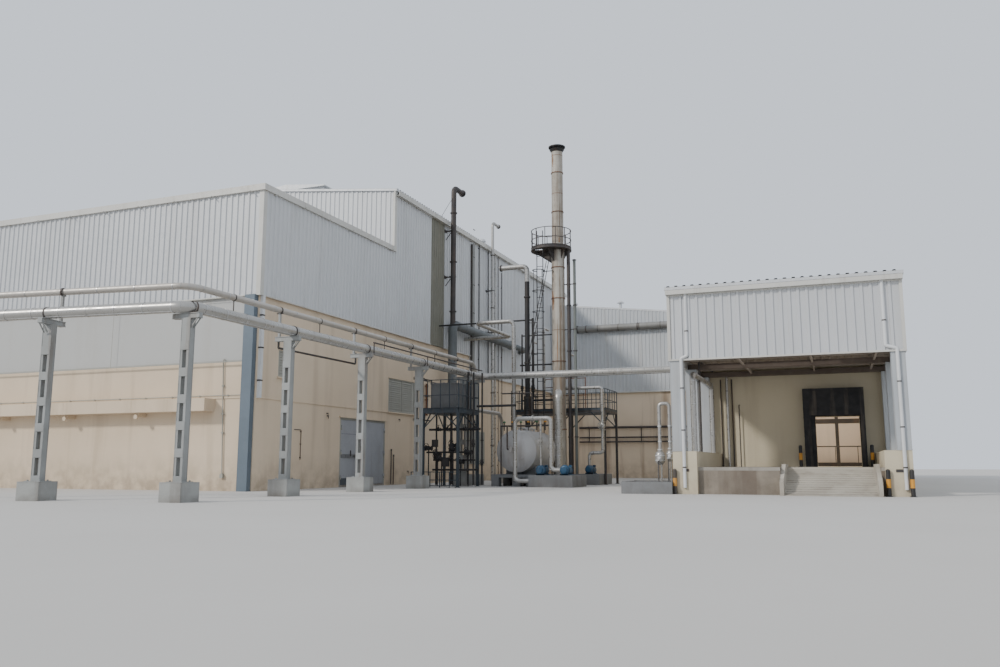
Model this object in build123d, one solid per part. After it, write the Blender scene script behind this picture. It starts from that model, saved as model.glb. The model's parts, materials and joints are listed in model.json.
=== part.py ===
"""Factory building: a steel-clad process hall with a rear wing, a loading dock and a plant yard.

Scale model at 1:2 of the real building, in model millimetres. The origin is on the ground at the
hall's front corner. +X runs along the hall's short front towards the dock, +Y runs along its long
side away from the yard entrance and +Z is up.
"""
from build123d import *
import os
from math import cos, degrees, radians, sin

# Hall shell
HALL_WIDTH = 10000
HALL_LENGTH = 22000
FRONT_BLOCK_LENGTH = 5870
LOW_EAVE = 6600
HIGH_EAVE = 8250
ROOF_SLOPE = 0.115
WALL = 150
FRONT_PLASTER_TOP = 2725
SIDE_PLASTER_TOP = 4250
REAR_PLASTER_TOP = 3680
REAR_PLASTER_START = 11250
FLOOR = 50
# Sheet cladding: the sheet stands proud of the plaster, its rails stand on the plaster
SHEET = 40
RAIL = 60
SHEET_LAP = 100
PANEL = 100
ROOF_SHEET = 60
DECK_DROP = 160
EAVE_OVERHANG = 60
GUTTER_WIDTH = 130
GUTTER_DEPTH = 130
GUTTER_WALL = 12
TRIM = 70
TRIM_HEIGHT = 140
# Ridge monitor
MONITOR_WIDTH = 2800
MONITOR_WALL = 50
MONITOR_HEIGHT = 520
MONITOR_START = 7700
MONITOR_END_GAP = 1500
MONITOR_OVERHANG = 90
# Side door and windows on the long side
DOOR_START = 3350
DOOR_WIDTH = 2250
DOOR_TOP = 1700
DOOR_FRAME = 50
DOOR_LEAF = 45
DOOR_GAP = 6
DOOR_STANDOFF = 6
HINGE_RADIUS = 12
HINGE_X = 18
HINGE_HEIGHT = 60
HINGE_INSET = 200
HINGE_STRAP = 40
HINGE_SEAT = 0.3
HINGES = 3
BAR_LEVEL = 850
BAR_DEPTH = 25
KICK_PLATE = 3
SMALL_WINDOW = (760, 1100, 2460, 3050)
DOUBLE_WINDOW = (5750, 7325, 1975, 2900)
WINDOW_FRAME = 35
WINDOW_DEPTH = 70
LOUVRE_PITCH = 95
LOUVRE_THICKNESS = 10
LOUVRE_ANGLE = 40
LIGHT_STRIP = (8200, 9150)
# Trims on the walls
COURSE_HEIGHT = 45
COURSE_DEPTH = 18
COURSE_LEVEL = 1945
COLUMN_WIDTH = 255
COLUMN_DEPTH = 130
COLUMN_INSET = 25
LEDGE_END = 1040
LEDGE_DEPTH = 330
LEDGE_HEIGHT = 270
LEDGE_BRACKET = 90
PIPE_DOWN = 75
DARK_PIPE_AT = 11250
# Rear wing
WING_SHARE = 2000
WING_START = HALL_LENGTH - WING_SHARE
WING_WIDTH = 12650
WING_DEPTH = 6000
WING_EAVE = 7350
WING_SLOPE = 0.1127
WING_PLASTER_TOP = 3600
WING_DOOR = (5250, 6150, 1200)
WING_DUCT = 280
WING_DUCT_LEVEL = 6225
WING_DUCT_RUN = (1300, 8400)
WING_PIPES = ((2060, 45), (1650, 30), (1470, 30))
WING_PIPE_RUN = (1300, 8300)
WING_PIPE_OUT = 100
WING_HANGERS = (1700, 3900, 6100, 8000)
HANGER = 30
# Round roof ventilators: place, neck radius, hat radius and rise over the roof
WING_VENT = (3050, WING_START + 400, 60, 160, 384)
SMALL_VENT = (1070, WING_START + 400, 60, 105, 220)
HALL_VENT = (-600, 13760, 110, 160, 480)
VENT_HAT = 90
# Loading dock
DOCK_LEFT = 8420
DOCK_RIGHT = 12560
DOCK_FRONT = 1685
DOCK_BACK = 5500
DOCK_FASCIA_BOTTOM = 2545
DOCK_EAVE = 3920
DOCK_ROOF_SLOPE = 0.05
DOCK_SHEET = 50
DOCK_ROOF_LIP = 80
DOCK_GUTTER_TOP = 10
DOCK_GUTTER_BOTTOM = 95
DOCK_GUTTER_DEPTH = 110
PLATFORM_TOP = 500
PLATFORM_SET_BACK = 120
SIDE_WALL = 450
SIDE_WALL_TOP = 800
POST = 240
POSTS = 3
BEAM_HEIGHT = 110
BEAM_WIDTH = 90
RAMP_LEFT = 10420
RAMP_RIGHT = 11980
RAMP_FRONT = 1450
RAMP_BACK = 3300
KERB = 70
KERB_RISE = 250
KERB_TOP = 60
KERB_LEVEL_RUN = 900
SHELTER = (10700, 11930, 2200)
SHELTER_OPENING = (10930, 11830, 1600)
SHELTER_DEPTH = 260
BOLLARD_RADIUS = 36
BOLLARD_HEIGHT = 450
BOLLARD_CLEARANCE = 12
DOWNPIPE = 62
DOWNPIPE_END = 120
DOWNPIPE_BEND = 45
LEFT_DROP = (8757, 2620, 8640, 2575)
RIGHT_DROP = (12250, 2640, 12430, 2590)
DOCK_PIPE = 110
DOCK_PIPE_X = 8730
DOCK_PIPE_Y = (2400, 5100)
DOCK_PIPE_LEVEL = 2340
# Stack
STACK_X = 4180
STACK_Y = 8000
STACK_LOWER_RADIUS = 185
STACK_UPPER_RADIUS = 165
STACK_WALL = 14
STACK_TOP = 9650
STACK_PLINTH = 250
STACK_SHOULDER = 200
STACK_RING = 14
STACK_RING_HEIGHT = 24
LOWER_RINGS = (1500, 3400, 5200, 6100)
UPPER_RINGS = (0.33, 0.76)
STACK_CAP_RADIUS = 245
COLLAR = 80
COLLAR_FLARE = 50
CAP_GAP = 60
CAP_PLATE = 30
# Landing: a round grating set to one side of the stack, on tapered arms (angle, reach)
STACK_LANDING = 6650
LANDING_SHIFT = 200
LANDING_RADIUS = 580
LANDING_ARMS = ((180, 700), (250, 480), (110, 480), (40, 330), (320, 330))
ARM_DEPTH = 420
RAIL_HEIGHT = 560
RAIL_BAR = 18
RAIL_POSTS = 12
KICK_RAIL = 60
GRATING = 30
CLEARANCE = 0.3
# Ladder
LADDER_X = 3600
LADDER_Y = 7800
LADDER_WIDTH = 200
LADDER_SIDE = 20
LADDER_DEPTH = 24
LADDER_RUNG_PITCH = 300
CAGE_START = 2400
CAGE_END = 6000
CAGE_PITCH = 600
CAGE_RADIUS = 170
CAGE_BAR = 12
CAGE_CHORDS = 6
CAGE_SPAN = 57
CAGE_UPRIGHTS = (200, 270, 340)
LADDER_TIES = (3000, 6000)
HATCH = (3580, 3820, 7640, 7830)
# Tank
TANK_X = 3700
TANK_RADIUS = 540
TANK_WALL = 14
TANK_START = 5820
TANK_LENGTH = 1680
TANK_HEAD = 170
TANK_SLAB_TOP = 300
TANK_SLAB = 80
TANK_CLEARANCE = 50
TANK_PIER = 200
SADDLE = 120
# Pipe rack
RACK_X = 2200
RACK_START = -4550
RACK_PITCH = 2600
RACK_POSTS = 5
RACK_WEST_POSTS = 2
RACK_WEST_PITCH = 2500
RACK_WEST_TURN = 8
RACK_CORNER_POST = (2230, 6700)
PEDESTAL = 400
PEDESTAL_TOP = 290
RACK_POST_WIDTH = 160
RACK_POST_DEPTH = 110
RACK_CHANNEL = 42
SLOT_HEIGHT = 275
SLOT_PITCH = 405
SLOTS = 5
SLOT_START = 95
RACK_POST_TOP = 2770
CROSSHEAD = 80
CROSSHEAD_LENGTH = 460
LOWER_PIPE = 185
LOWER_PIPE_OFFSET = 75
UPPER_PIPE = 110
UPPER_PIPE_OFFSET = 225
UPPER_PIPE_RISE = 500
UPPER_PIPE_END = (7150, 2050, 9200)
BEND = 300
RACK_TURN = 6850
DROP_X = 8000
DROP_FOOT = 200
# Yard platforms: left, right, front, back, floor level, railing height
SERVICE_PLATFORM = (1760, 2760, 4300, 5600, 1880, 760)
WALKWAY = (2600, 5400, 8350, 9750, 2060, 600)
PLATFORM_FLOOR = 70
PLATFORM_LEG = 60
RAIL_PITCH = 250
RAIL_GAP = 3
GUARD_RAIL = (1600, 2900, 4050, 380)
HOUSING = (1860, 2560, 4600, 5450, 690)
# Plinths and pumps: a pump is placed by the middle of its casing
PLINTH_TOP = 290
PUMP_PLINTH = (4260, 5380, 5150, 6400)
REAR_PLINTH = (4600, 5330, 7850, 9240)
PUMPS = ((4555, 5250), (5170, 5250), (4990, 8120))
PUMP_BASE = 30
PUMP_CASING = 115
PUMP_CASING_WIDTH = 100
PUMP_MOTOR = 95
PUMP_MOTOR_LENGTH = 280
# Drain tray with two vessels
TRAY = (7450, 1500, 2600, 230)
TRAY_WALL = 60
VESSELS = ((8110, 95, 680, 45), (8310, 72, 720, 28))
VESSEL_Y = 2050
VESSEL_LENGTH = 90
VESSEL_PIPE_TOP = 1740
VESSEL_PIPE = 66
# Yard pipes
DUCT = 280
DUCT_X = 330
DUCT_Y = 9200
DUCT_TOP = 4890
DUCT_BOTTOM = 2900
DUCT_END = 14300
DUCT_TAIL = 200
DUCT_TAIL_END = 16000
NEAR_VENT = 170
NEAR_VENT_TOP = 9350
NEAR_VENT_REACH = 700
MIDDLE_VENT = 105
MIDDLE_VENT_AT = (300, 12600, 9100)
MIDDLE_VENT_REACH = 600
VENT_BRACKET = 40
FAR_VENT = 140
FAR_VENT_AT = (3290, 7850, 6210)
FAR_VENT_END = 2450
SILENCER = (105, 1880, 2450)
STEAM_PIPE = 120
STEAM_LEG = (2860, 7900)
STEAM_TOP = 4640
STEAM_TURN = (1690, 10700)
FLUE = 190
FLUE_AT = (4700, 6250)
FLUE_TOP = 2400
MANIFOLD = 110
MANIFOLD_LEGS = (3877, 4819)
MANIFOLD_TOP = 1680
MANIFOLD_FOOT = 150
PUMP_DROP = 56
PUMP_LINE = 90
PUMP_LINE_X = 5375
PUMP_LINE_LEVELS = (865, 2660)
RISERS = ((4490, 52, 0, 6600), (4665, 40, 290, 6300))
RISER_TIES = (2950, 4300, 5600)


def box(x0, x1, y0, y1, z0, z1):
    """An upright box between two corners."""
    centre = ((x0 + x1) / 2, (y0 + y1) / 2, (z0 + z1) / 2)
    return Pos(*centre) * Box(x1 - x0, y1 - y0, z1 - z0)


def prism_x(points, x0, x1):
    """A prism along X from a closed outline of (y, z) points."""
    face = Plane(origin=(x0, 0, 0), x_dir=(0, 1, 0), z_dir=(1, 0, 0)) * make_face(Polyline(*points, close=True))
    return extrude(face, x1 - x0)


def prism_y(points, y0, y1):
    """A prism along Y from a closed outline of (x, z) points."""
    face = Plane(origin=(0, y0, 0), x_dir=(1, 0, 0), z_dir=(0, -1, 0)) * make_face(Polyline(*points, close=True))
    return extrude(face, -(y1 - y0))


def post(x, y, radius, z0, z1):
    """An upright round bar."""
    return Pos(x, y, (z0 + z1) / 2) * Cylinder(radius, z1 - z0)


def pipe(points, diameter, bend):
    """A round pipe along straight runs joined by tangent bends."""
    path = FilletPolyline(*points, radius=bend) if len(points) > 2 else Line(*points)
    section = Plane(origin=path @ 0, z_dir=path % 0) * Circle(diameter / 2)
    return sweep(section, path=path)


nodes = {}


def add(name, *pieces):
    """Adds pieces to a node: what touches is fused, what stands apart stays its own solid."""
    for piece in pieces:
        nodes[name] = nodes[name] + piece if name in nodes else piece


def write_nodes():
    """Writes each node to its own file."""
    os.makedirs("parts", exist_ok=True)
    for name, shape in nodes.items():
        solids = shape.solids()
        export_step(solids[0] if len(solids) == 1 else Compound(children=list(solids)), f"parts/{name}.step")


def roof_void():
    """The space above the hall's two roof slopes, cut from every wall below them."""
    ridge = -HALL_WIDTH / 2
    reach = 500
    rise = ROOF_SLOPE
    far = -HALL_WIDTH - reach
    top = HIGH_EAVE + HALL_WIDTH
    outline = [(reach, HIGH_EAVE - rise * reach), (ridge, HIGH_EAVE - rise * ridge),
               (far, HIGH_EAVE - rise * reach), (far, top), (reach, top)]
    return prism_y(outline, -reach, HALL_LENGTH + reach)


def long_side_outline(bottom, rear_bottom):
    """The outline of the hall's long side above its plaster, with the step at the upper block."""
    step = [(REAR_PLASTER_START, bottom), (REAR_PLASTER_START, rear_bottom)] if bottom != rear_bottom else []
    return [(0, bottom), *step, (HALL_LENGTH, rear_bottom), (HALL_LENGTH, HIGH_EAVE + 100), (FRONT_BLOCK_LENGTH, HIGH_EAVE + 100),
            (FRONT_BLOCK_LENGTH, LOW_EAVE), (0, LOW_EAVE)]


def build_hall_walls():
    """Plastered masonry round the hall, with the door and windows cut through the long side."""
    east = prism_x([(0, 0), (HALL_LENGTH, 0), (HALL_LENGTH, REAR_PLASTER_TOP),
                    (REAR_PLASTER_START, REAR_PLASTER_TOP), (REAR_PLASTER_START, SIDE_PLASTER_TOP),
                    (0, SIDE_PLASTER_TOP)], -WALL, 0)
    for y0, y1, z0, z1 in (SMALL_WINDOW, DOUBLE_WINDOW):
        east -= box(-WALL - 1, 1, y0, y1, z0, z1)
    door_end = DOOR_START + DOOR_WIDTH
    reach = HALL_LENGTH + 1
    high = SIDE_PLASTER_TOP + 1
    add("wall_east_south", east & box(-WALL, 0, 0, DOOR_START, 0, high))
    add("wall_over_door", east & box(-WALL, 0, DOOR_START, door_end, DOOR_TOP, high))
    add("wall_east_north", east & box(-WALL, 0, door_end, reach, 0, high))
    add("wall_front", box(-HALL_WIDTH + WALL, -WALL, 0, WALL, 0, FRONT_PLASTER_TOP))
    west = -HALL_WIDTH
    add("rear_walls", box(west, west + WALL, 0, HALL_LENGTH, 0, REAR_PLASTER_TOP))
    add("rear_walls", box(west + WALL, -WALL, HALL_LENGTH - WALL, HALL_LENGTH, 0, REAR_PLASTER_TOP))
    inner = box(west + WALL, -WALL, WALL, HALL_LENGTH - WALL, 0, FLOOR)
    doorstep = box(-WALL, 0, DOOR_START, door_end, 0, FLOOR)
    add("hall_floor", inner + doorstep)


def build_hall_cladding():
    """Sheet cladding over the plaster, its rails inside the plane of the wall."""
    void = roof_void()
    west = -HALL_WIDTH
    sheet = prism_x(long_side_outline(SIDE_PLASTER_TOP - SHEET_LAP, REAR_PLASTER_TOP - SHEET_LAP), 0, SHEET)
    rails = prism_x(long_side_outline(SIDE_PLASTER_TOP, REAR_PLASTER_TOP), -RAIL, 0)
    east = sheet + rails - void
    strip0, strip1 = LIGHT_STRIP
    low = SIDE_PLASTER_TOP - SHEET_LAP
    strip_box = box(-RAIL, SHEET, strip0, strip1, low, HIGH_EAVE + 100)
    add("cladding_east", east - strip_box)
    add("light_strip", east & strip_box)
    low_rear = REAR_PLASTER_TOP - SHEET_LAP
    plain = prism_x(long_side_outline(low_rear, low_rear), 0, SHEET)
    plain += prism_x(long_side_outline(REAR_PLASTER_TOP, REAR_PLASTER_TOP), -RAIL, 0)
    add("rear_cladding", mirror(plain, Plane(origin=(west / 2, 0, 0), z_dir=(1, 0, 0))) - void)
    add("panels_front", box(west + WALL, -WALL, 0, PANEL, FRONT_PLASTER_TOP, SIDE_PLASTER_TOP))
    front = box(west - SHEET, SHEET, -SHEET, 0, low, LOW_EAVE)
    front += box(west + RAIL, -RAIL, 0, RAIL, SIDE_PLASTER_TOP, LOW_EAVE)
    add("cladding_front", front)
    deck = LOW_EAVE - DECK_DROP
    gable = box(west + RAIL, -RAIL, FRONT_BLOCK_LENGTH, FRONT_BLOCK_LENGTH + SHEET + RAIL,
                deck, HIGH_EAVE + HALL_WIDTH)
    add("cladding_gable", gable - void)
    rear = box(west - SHEET, SHEET, HALL_LENGTH, HALL_LENGTH + SHEET, REAR_PLASTER_TOP - SHEET_LAP, HIGH_EAVE + HALL_WIDTH)
    rear += box(west + RAIL, -RAIL, HALL_LENGTH - RAIL, HALL_LENGTH, REAR_PLASTER_TOP, HIGH_EAVE + HALL_WIDTH)
    add("rear_cladding", rear - void)
    add("front_block_roof", box(west + RAIL, -RAIL, RAIL, FRONT_BLOCK_LENGTH + SHEET + RAIL,
                                 deck - ROOF_SHEET, deck))


def build_hall_roof():
    """Two roof slopes, eave gutters, the front block's trim and the ridge monitor."""
    west = -HALL_WIDTH
    ridge = west / 2
    y0 = FRONT_BLOCK_LENGTH - EAVE_OVERHANG
    y1 = HALL_LENGTH + SHEET + EAVE_OVERHANG

    def under(x):
        return HIGH_EAVE - ROOF_SLOPE * x

    lip = SHEET + EAVE_OVERHANG
    slope = [(lip, under(lip)), (ridge, under(ridge)), (ridge, under(ridge) + ROOF_SHEET),
             (lip, under(lip) + ROOF_SHEET)]
    east = prism_y(slope, y0, y1)
    add("hall_roof", east)
    add("hall_roof", mirror(east, Plane(origin=(ridge, 0, 0), z_dir=(1, 0, 0))))
    top = under(lip)
    gutter = [(SHEET, top - GUTTER_DEPTH), (SHEET + GUTTER_WIDTH, top - GUTTER_DEPTH),
              (SHEET + GUTTER_WIDTH, top), (SHEET + GUTTER_WIDTH - GUTTER_WALL, top),
              (SHEET + GUTTER_WIDTH - GUTTER_WALL, top - GUTTER_DEPTH + GUTTER_WALL),
              (SHEET + GUTTER_WALL, top - GUTTER_DEPTH + GUTTER_WALL), (SHEET + GUTTER_WALL, top), (SHEET, top)]
    gutter_east = prism_y(gutter, FRONT_BLOCK_LENGTH, HALL_LENGTH)
    add("eave_gutters", gutter_east, mirror(gutter_east, Plane(origin=(ridge, 0, 0), z_dir=(1, 0, 0))))
    trim0 = LOW_EAVE - TRIM_HEIGHT
    out = SHEET + TRIM
    trim = box(west - out, out, -out, -SHEET, trim0, LOW_EAVE)
    trim += box(SHEET, out, -SHEET, FRONT_BLOCK_LENGTH, trim0, LOW_EAVE)
    trim += box(west - out, west - SHEET, -SHEET, FRONT_BLOCK_LENGTH, trim0, LOW_EAVE)
    add("eave_gutters", trim)

    half = MONITOR_WIDTH / 2
    start = MONITOR_START
    end = HALL_LENGTH - MONITOR_END_GAP
    sides = box(ridge - half, ridge + half, start, end, HIGH_EAVE, under(ridge) + MONITOR_HEIGHT + ROOF_SHEET)
    inner = half - MONITOR_WALL
    sides -= box(ridge - inner, ridge + inner, start + MONITOR_WALL, end - MONITOR_WALL,
                 HIGH_EAVE - 1, HIGH_EAVE + HALL_WIDTH)
    base = prism_y([(0, HIGH_EAVE - 100), (0, under(0) + ROOF_SHEET), (ridge, under(ridge) + ROOF_SHEET),
                    (west, under(0) + ROOF_SHEET), (west, HIGH_EAVE - 100)], start - 1, end + 1)
    add("roof_ventilators", sides - base)
    z = under(ridge) + MONITOR_HEIGHT + ROOF_SHEET
    edge = half + MONITOR_OVERHANG
    rise = edge * ROOF_SLOPE
    add("roof_ventilators", prism_y([(ridge - edge, z), (ridge + edge, z), (ridge + edge, z + ROOF_SHEET / 2),
                                  (ridge, z + ROOF_SHEET / 2 + rise), (ridge - edge, z + ROOF_SHEET / 2)],
                                 start - MONITOR_OVERHANG, end + MONITOR_OVERHANG))


def build_hall_trims():
    """Corner column, string courses, ledge with brackets and rainwater pipes."""
    west = -HALL_WIDTH
    column0 = -COLUMN_INSET - COLUMN_WIDTH
    under_sheet = SIDE_PLASTER_TOP - SHEET_LAP
    add("corner_column", box(column0, -COLUMN_INSET, -COLUMN_DEPTH, 0, 0, under_sheet))
    level = COURSE_LEVEL
    front = box(west, column0, -COURSE_DEPTH, 0, level, level + COURSE_HEIGHT)
    side = box(0, COURSE_DEPTH, 2 * PIPE_DOWN, DOUBLE_WINDOW[0] - WINDOW_FRAME, level, level + COURSE_HEIGHT)
    add("wall_ledges", front, side)
    ledge = box(west, -LEDGE_END, -LEDGE_DEPTH, 0, level - LEDGE_HEIGHT, level)
    brackets = Compound(children=[
        box(x - LEDGE_BRACKET, x, -LEDGE_DEPTH + LEDGE_BRACKET, 0, level - LEDGE_HEIGHT - LEDGE_BRACKET,
            level - LEDGE_HEIGHT) for x in (-2900, -5000, -7100, -9200)])
    ledge += brackets
    add("wall_ledges", ledge)
    add("white_downpipes", box(0, PIPE_DOWN, 40, 40 + PIPE_DOWN, level, under_sheet))
    dark = box(SHEET, SHEET + 90, DARK_PIPE_AT, DARK_PIPE_AT + 150, 600, HIGH_EAVE - 250)
    add("vent_pipes", dark + box(0, SHEET, DARK_PIPE_AT, DARK_PIPE_AT + 150, 600, 800))


def build_openings():
    """Louvred windows and the door frame."""
    pieces = []
    for y0, y1, z0, z1 in (SMALL_WINDOW, DOUBLE_WINDOW):
        frame = box(-WINDOW_DEPTH, 0, y0, y1, z0, z1)
        bays = 2 if y1 - y0 > 1000 else 1
        bay = (y1 - y0 - WINDOW_FRAME * (bays + 1)) / bays
        for i in range(bays):
            left = y0 + WINDOW_FRAME + i * (bay + WINDOW_FRAME)
            frame -= box(-WINDOW_DEPTH - 1, 1, left, left + bay, z0 + WINDOW_FRAME, z1 - WINDOW_FRAME)
            count = int((z1 - z0 - 2 * WINDOW_FRAME) / LOUVRE_PITCH)
            pitch = (z1 - z0 - 2 * WINDOW_FRAME) / count
            for k in range(count):
                z = z0 + WINDOW_FRAME + (k + 0.5) * pitch
                blade = Rot(0, LOUVRE_ANGLE, 0) * Box(WINDOW_DEPTH * 0.9, bay + 2, LOUVRE_THICKNESS)
                frame += Pos(-WINDOW_DEPTH / 2, left + bay / 2, z) * blade
        pieces.append(frame)
    add("louvred_windows", *pieces)
    door_end = DOOR_START + DOOR_WIDTH
    frame = box(-WALL, 0, DOOR_START, door_end, FLOOR, DOOR_TOP)
    frame -= box(-WALL - 1, 1, DOOR_START + DOOR_FRAME, door_end - DOOR_FRAME, FLOOR - 1, DOOR_TOP - DOOR_FRAME)
    add("door_frames", frame)


def hinge_levels():
    """The undersides of the leaf barrels, from the bottom up."""
    low = FLOOR + HINGE_INSET
    high = DOOR_TOP - DOOR_FRAME - HINGE_INSET
    return [low + (high - low) * i / (HINGES - 1) for i in range(HINGES)]


def build_door_leaves():
    """Two steel leaves hung on the frame's face, their barrels seated on the frame's knuckles."""
    z0 = FLOOR + DOOR_GAP
    z1 = DOOR_TOP - DOOR_FRAME - DOOR_GAP
    left = DOOR_START + DOOR_FRAME + DOOR_GAP
    right = DOOR_START + DOOR_WIDTH - DOOR_FRAME - DOOR_GAP
    middle = (left + right) / 2
    x1 = -DOOR_STANDOFF
    x0 = x1 - DOOR_LEAF
    first = box(x0, x1, left, middle - DOOR_GAP / 2, z0, z1)
    second = box(x0, x1, middle + DOOR_GAP / 2, right, z0, z1)
    first += box(x1, x1 + BAR_DEPTH, middle - 330, middle - 110, BAR_LEVEL, BAR_LEVEL + 30)
    first += box(x1, x1 + KICK_PLATE, left + 60, middle - DOOR_GAP / 2 - 20, z0 + 10, z0 + 260)
    knuckles = []
    for leaf, edge, side in ((0, left, 1), (1, right, -1)):
        pin_y = edge - side * DOOR_GAP / 2
        strap = sorted((edge + side * HINGE_STRAP, edge))
        seat = sorted((pin_y, pin_y - side * (HINGE_STRAP - 10)))
        for z in hinge_levels():
            barrel = post(HINGE_X, pin_y, HINGE_RADIUS, z, z + HINGE_HEIGHT)
            arm = box(x1, HINGE_X, strap[0], strap[1], z, z + HINGE_HEIGHT)
            web = box(HINGE_X - 4, HINGE_X, *sorted((pin_y, edge + side)), z, z + HINGE_HEIGHT)
            if leaf == 0:
                first += barrel + arm + web
            else:
                second += barrel + arm + web
            low = z - HINGE_SEAT - HINGE_HEIGHT
            top = z - HINGE_SEAT
            knuckles.append(post(HINGE_X, pin_y, HINGE_RADIUS, low, top)
                            + box(0, HINGE_X, seat[0], seat[1], low, top))
    add("door_leaf_left", first)
    add("door_leaf_right", second)
    add("door_frames", *knuckles)


def turned(x, y, z, radius, length):
    """A cylinder along Y that starts at y."""
    return Pos(x, y + length / 2, z) * Rot(90, 0, 0) * Cylinder(radius, length)


def all_of(pieces):
    """One shape from a list of pieces that touch."""
    whole = pieces[0]
    for piece in pieces[1:]:
        whole += piece
    return whole


def roof_fitting(place, surface):
    """A round ventilator whose neck is cut to the roof's surface."""
    x, y, neck_radius, hat_radius, rise = place
    half = 2 * hat_radius
    top = surface(x) + rise
    neck = post(x, y, neck_radius, surface(x) - half, top - VENT_HAT / 2)
    neck -= prism_y([(x - half, surface(x - half)), (x + half, surface(x + half)),
                     (x + half, surface(x) - 2 * half), (x - half, surface(x) - 2 * half)], y - half, y + half)
    return neck + Pos(x, y, top - VENT_HAT / 2) * Cone(hat_radius, neck_radius, VENT_HAT)


def build_wing():
    """The rear wing: plaster below, sheet above, one roof slope falling away from the hall."""
    y0 = WING_START
    y1 = WING_START + WING_DEPTH
    x1 = WING_WIDTH

    def under(x):
        return WING_EAVE - WING_SLOPE * x

    reach = 300
    void = prism_y([(-reach, under(-reach)), (x1 + reach, under(x1 + reach)),
                    (x1 + reach, WING_EAVE + reach), (-reach, WING_EAVE + reach)], y0 - reach, y1 + reach)
    door0, door1, door_top = WING_DOOR
    front = box(SHEET, x1, y0, y0 + WALL, 0, WING_PLASTER_TOP)
    front -= box(door0, door1, y0 - 1, y0 + WALL + 1, 0, door_top)
    front += box(0, SHEET, y0, y0 + WALL, 0, REAR_PLASTER_TOP - SHEET_LAP)
    add("wing_wall_front", front)
    add("rear_walls", box(0, x1, y1 - WALL, y1, 0, WING_PLASTER_TOP))
    west = box(0, WALL, HALL_LENGTH + SHEET, y1 - WALL, 0, WING_PLASTER_TOP)
    east = box(x1 - WALL, x1, y0 + WALL, y1 - WALL, 0, WING_PLASTER_TOP)
    add("rear_walls", west, east)
    lap = WING_PLASTER_TOP - SHEET_LAP
    high = WING_EAVE + reach
    clad = box(SHEET, x1 + SHEET, y0 - SHEET, y0, lap, high) + box(RAIL, x1, y0, y0 + RAIL, WING_PLASTER_TOP, high)
    add("wing_cladding_front", clad - void)
    rear = box(0, x1 + SHEET, y1, y1 + SHEET, lap, high) + box(0, x1, y1 - RAIL, y1, WING_PLASTER_TOP, high)
    side = box(x1, x1 + SHEET, y0, y1, lap, high) + box(x1 - RAIL, x1, y0 + RAIL, y1 - RAIL, WING_PLASTER_TOP, high)
    inner = box(0, RAIL, HALL_LENGTH + SHEET, y1 - RAIL, WING_PLASTER_TOP, high)
    add("rear_cladding", (rear + side - void), (inner - void))
    lip = x1 + SHEET + EAVE_OVERHANG
    add("wing_roof", prism_y([(SHEET, under(SHEET)), (lip, under(lip)), (lip, under(lip) + ROOF_SHEET),
                               (SHEET, under(SHEET) + ROOF_SHEET)], y0 - SHEET - 20, HALL_LENGTH + SHEET)
         + prism_y([(0, under(0)), (lip, under(lip)), (lip, under(lip) + ROOF_SHEET),
                    (0, under(0) + ROOF_SHEET)], HALL_LENGTH + SHEET, y1 + SHEET + 20))
    for place in (WING_VENT, SMALL_VENT):
        add("roof_ventilators", roof_fitting(place, lambda x: under(x) + ROOF_SHEET))
    add("roof_ventilators", roof_fitting(HALL_VENT, lambda x: HIGH_EAVE - ROOF_SLOPE * x + ROOF_SHEET))
    frame = box(door0, door1, y0, y0 + WALL, 0, door_top)
    frame -= box(door0 + DOOR_FRAME, door1 - DOOR_FRAME, y0 - 1, y0 + WALL + 1, -1, door_top - DOOR_FRAME)
    add("door_frames", frame)
    build_wing_pipes()


def build_wing_pipes():
    """The round duct under the wing's eave and three pipes on its wall, on hangers."""
    sheet = WING_START - SHEET
    x0, x1 = WING_DUCT_RUN
    duct_y = sheet - HANGER - WING_DUCT / 2
    duct = [pipe([(x0, duct_y, WING_DUCT_LEVEL), (x1, duct_y, WING_DUCT_LEVEL)], WING_DUCT, BEND)]
    for x in WING_HANGERS:
        duct.append(box(x - HANGER / 2, x + HANGER / 2, duct_y, sheet, WING_DUCT_LEVEL - HANGER / 2,
                        WING_DUCT_LEVEL + HANGER / 2))
    add("wing_pipes", all_of(duct))
    pipe_y = WING_START - WING_PIPE_OUT
    low = min(level for level, _ in WING_PIPES) - HANGER
    high = max(level for level, _ in WING_PIPES) + HANGER
    pieces = []
    for x in WING_HANGERS:
        pieces.append(box(x - HANGER / 2, x + HANGER / 2, WING_START - HANGER, WING_START, low, high))
        for level, _ in WING_PIPES:
            pieces.append(box(x - HANGER / 2, x + HANGER / 2, pipe_y, WING_START - HANGER, level - HANGER / 2,
                              level + HANGER / 2))
    for level, radius in WING_PIPES:
        pieces.append(pipe([(WING_PIPE_RUN[0], pipe_y, level), (WING_PIPE_RUN[1], pipe_y, level)], 2 * radius, BEND))
    add("wing_pipes", all_of(pieces))


def dock_under(y):
    """The level of the dock roof's underside."""
    return DOCK_EAVE + DOCK_ROOF_SLOPE * (y - DOCK_FRONT)


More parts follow.
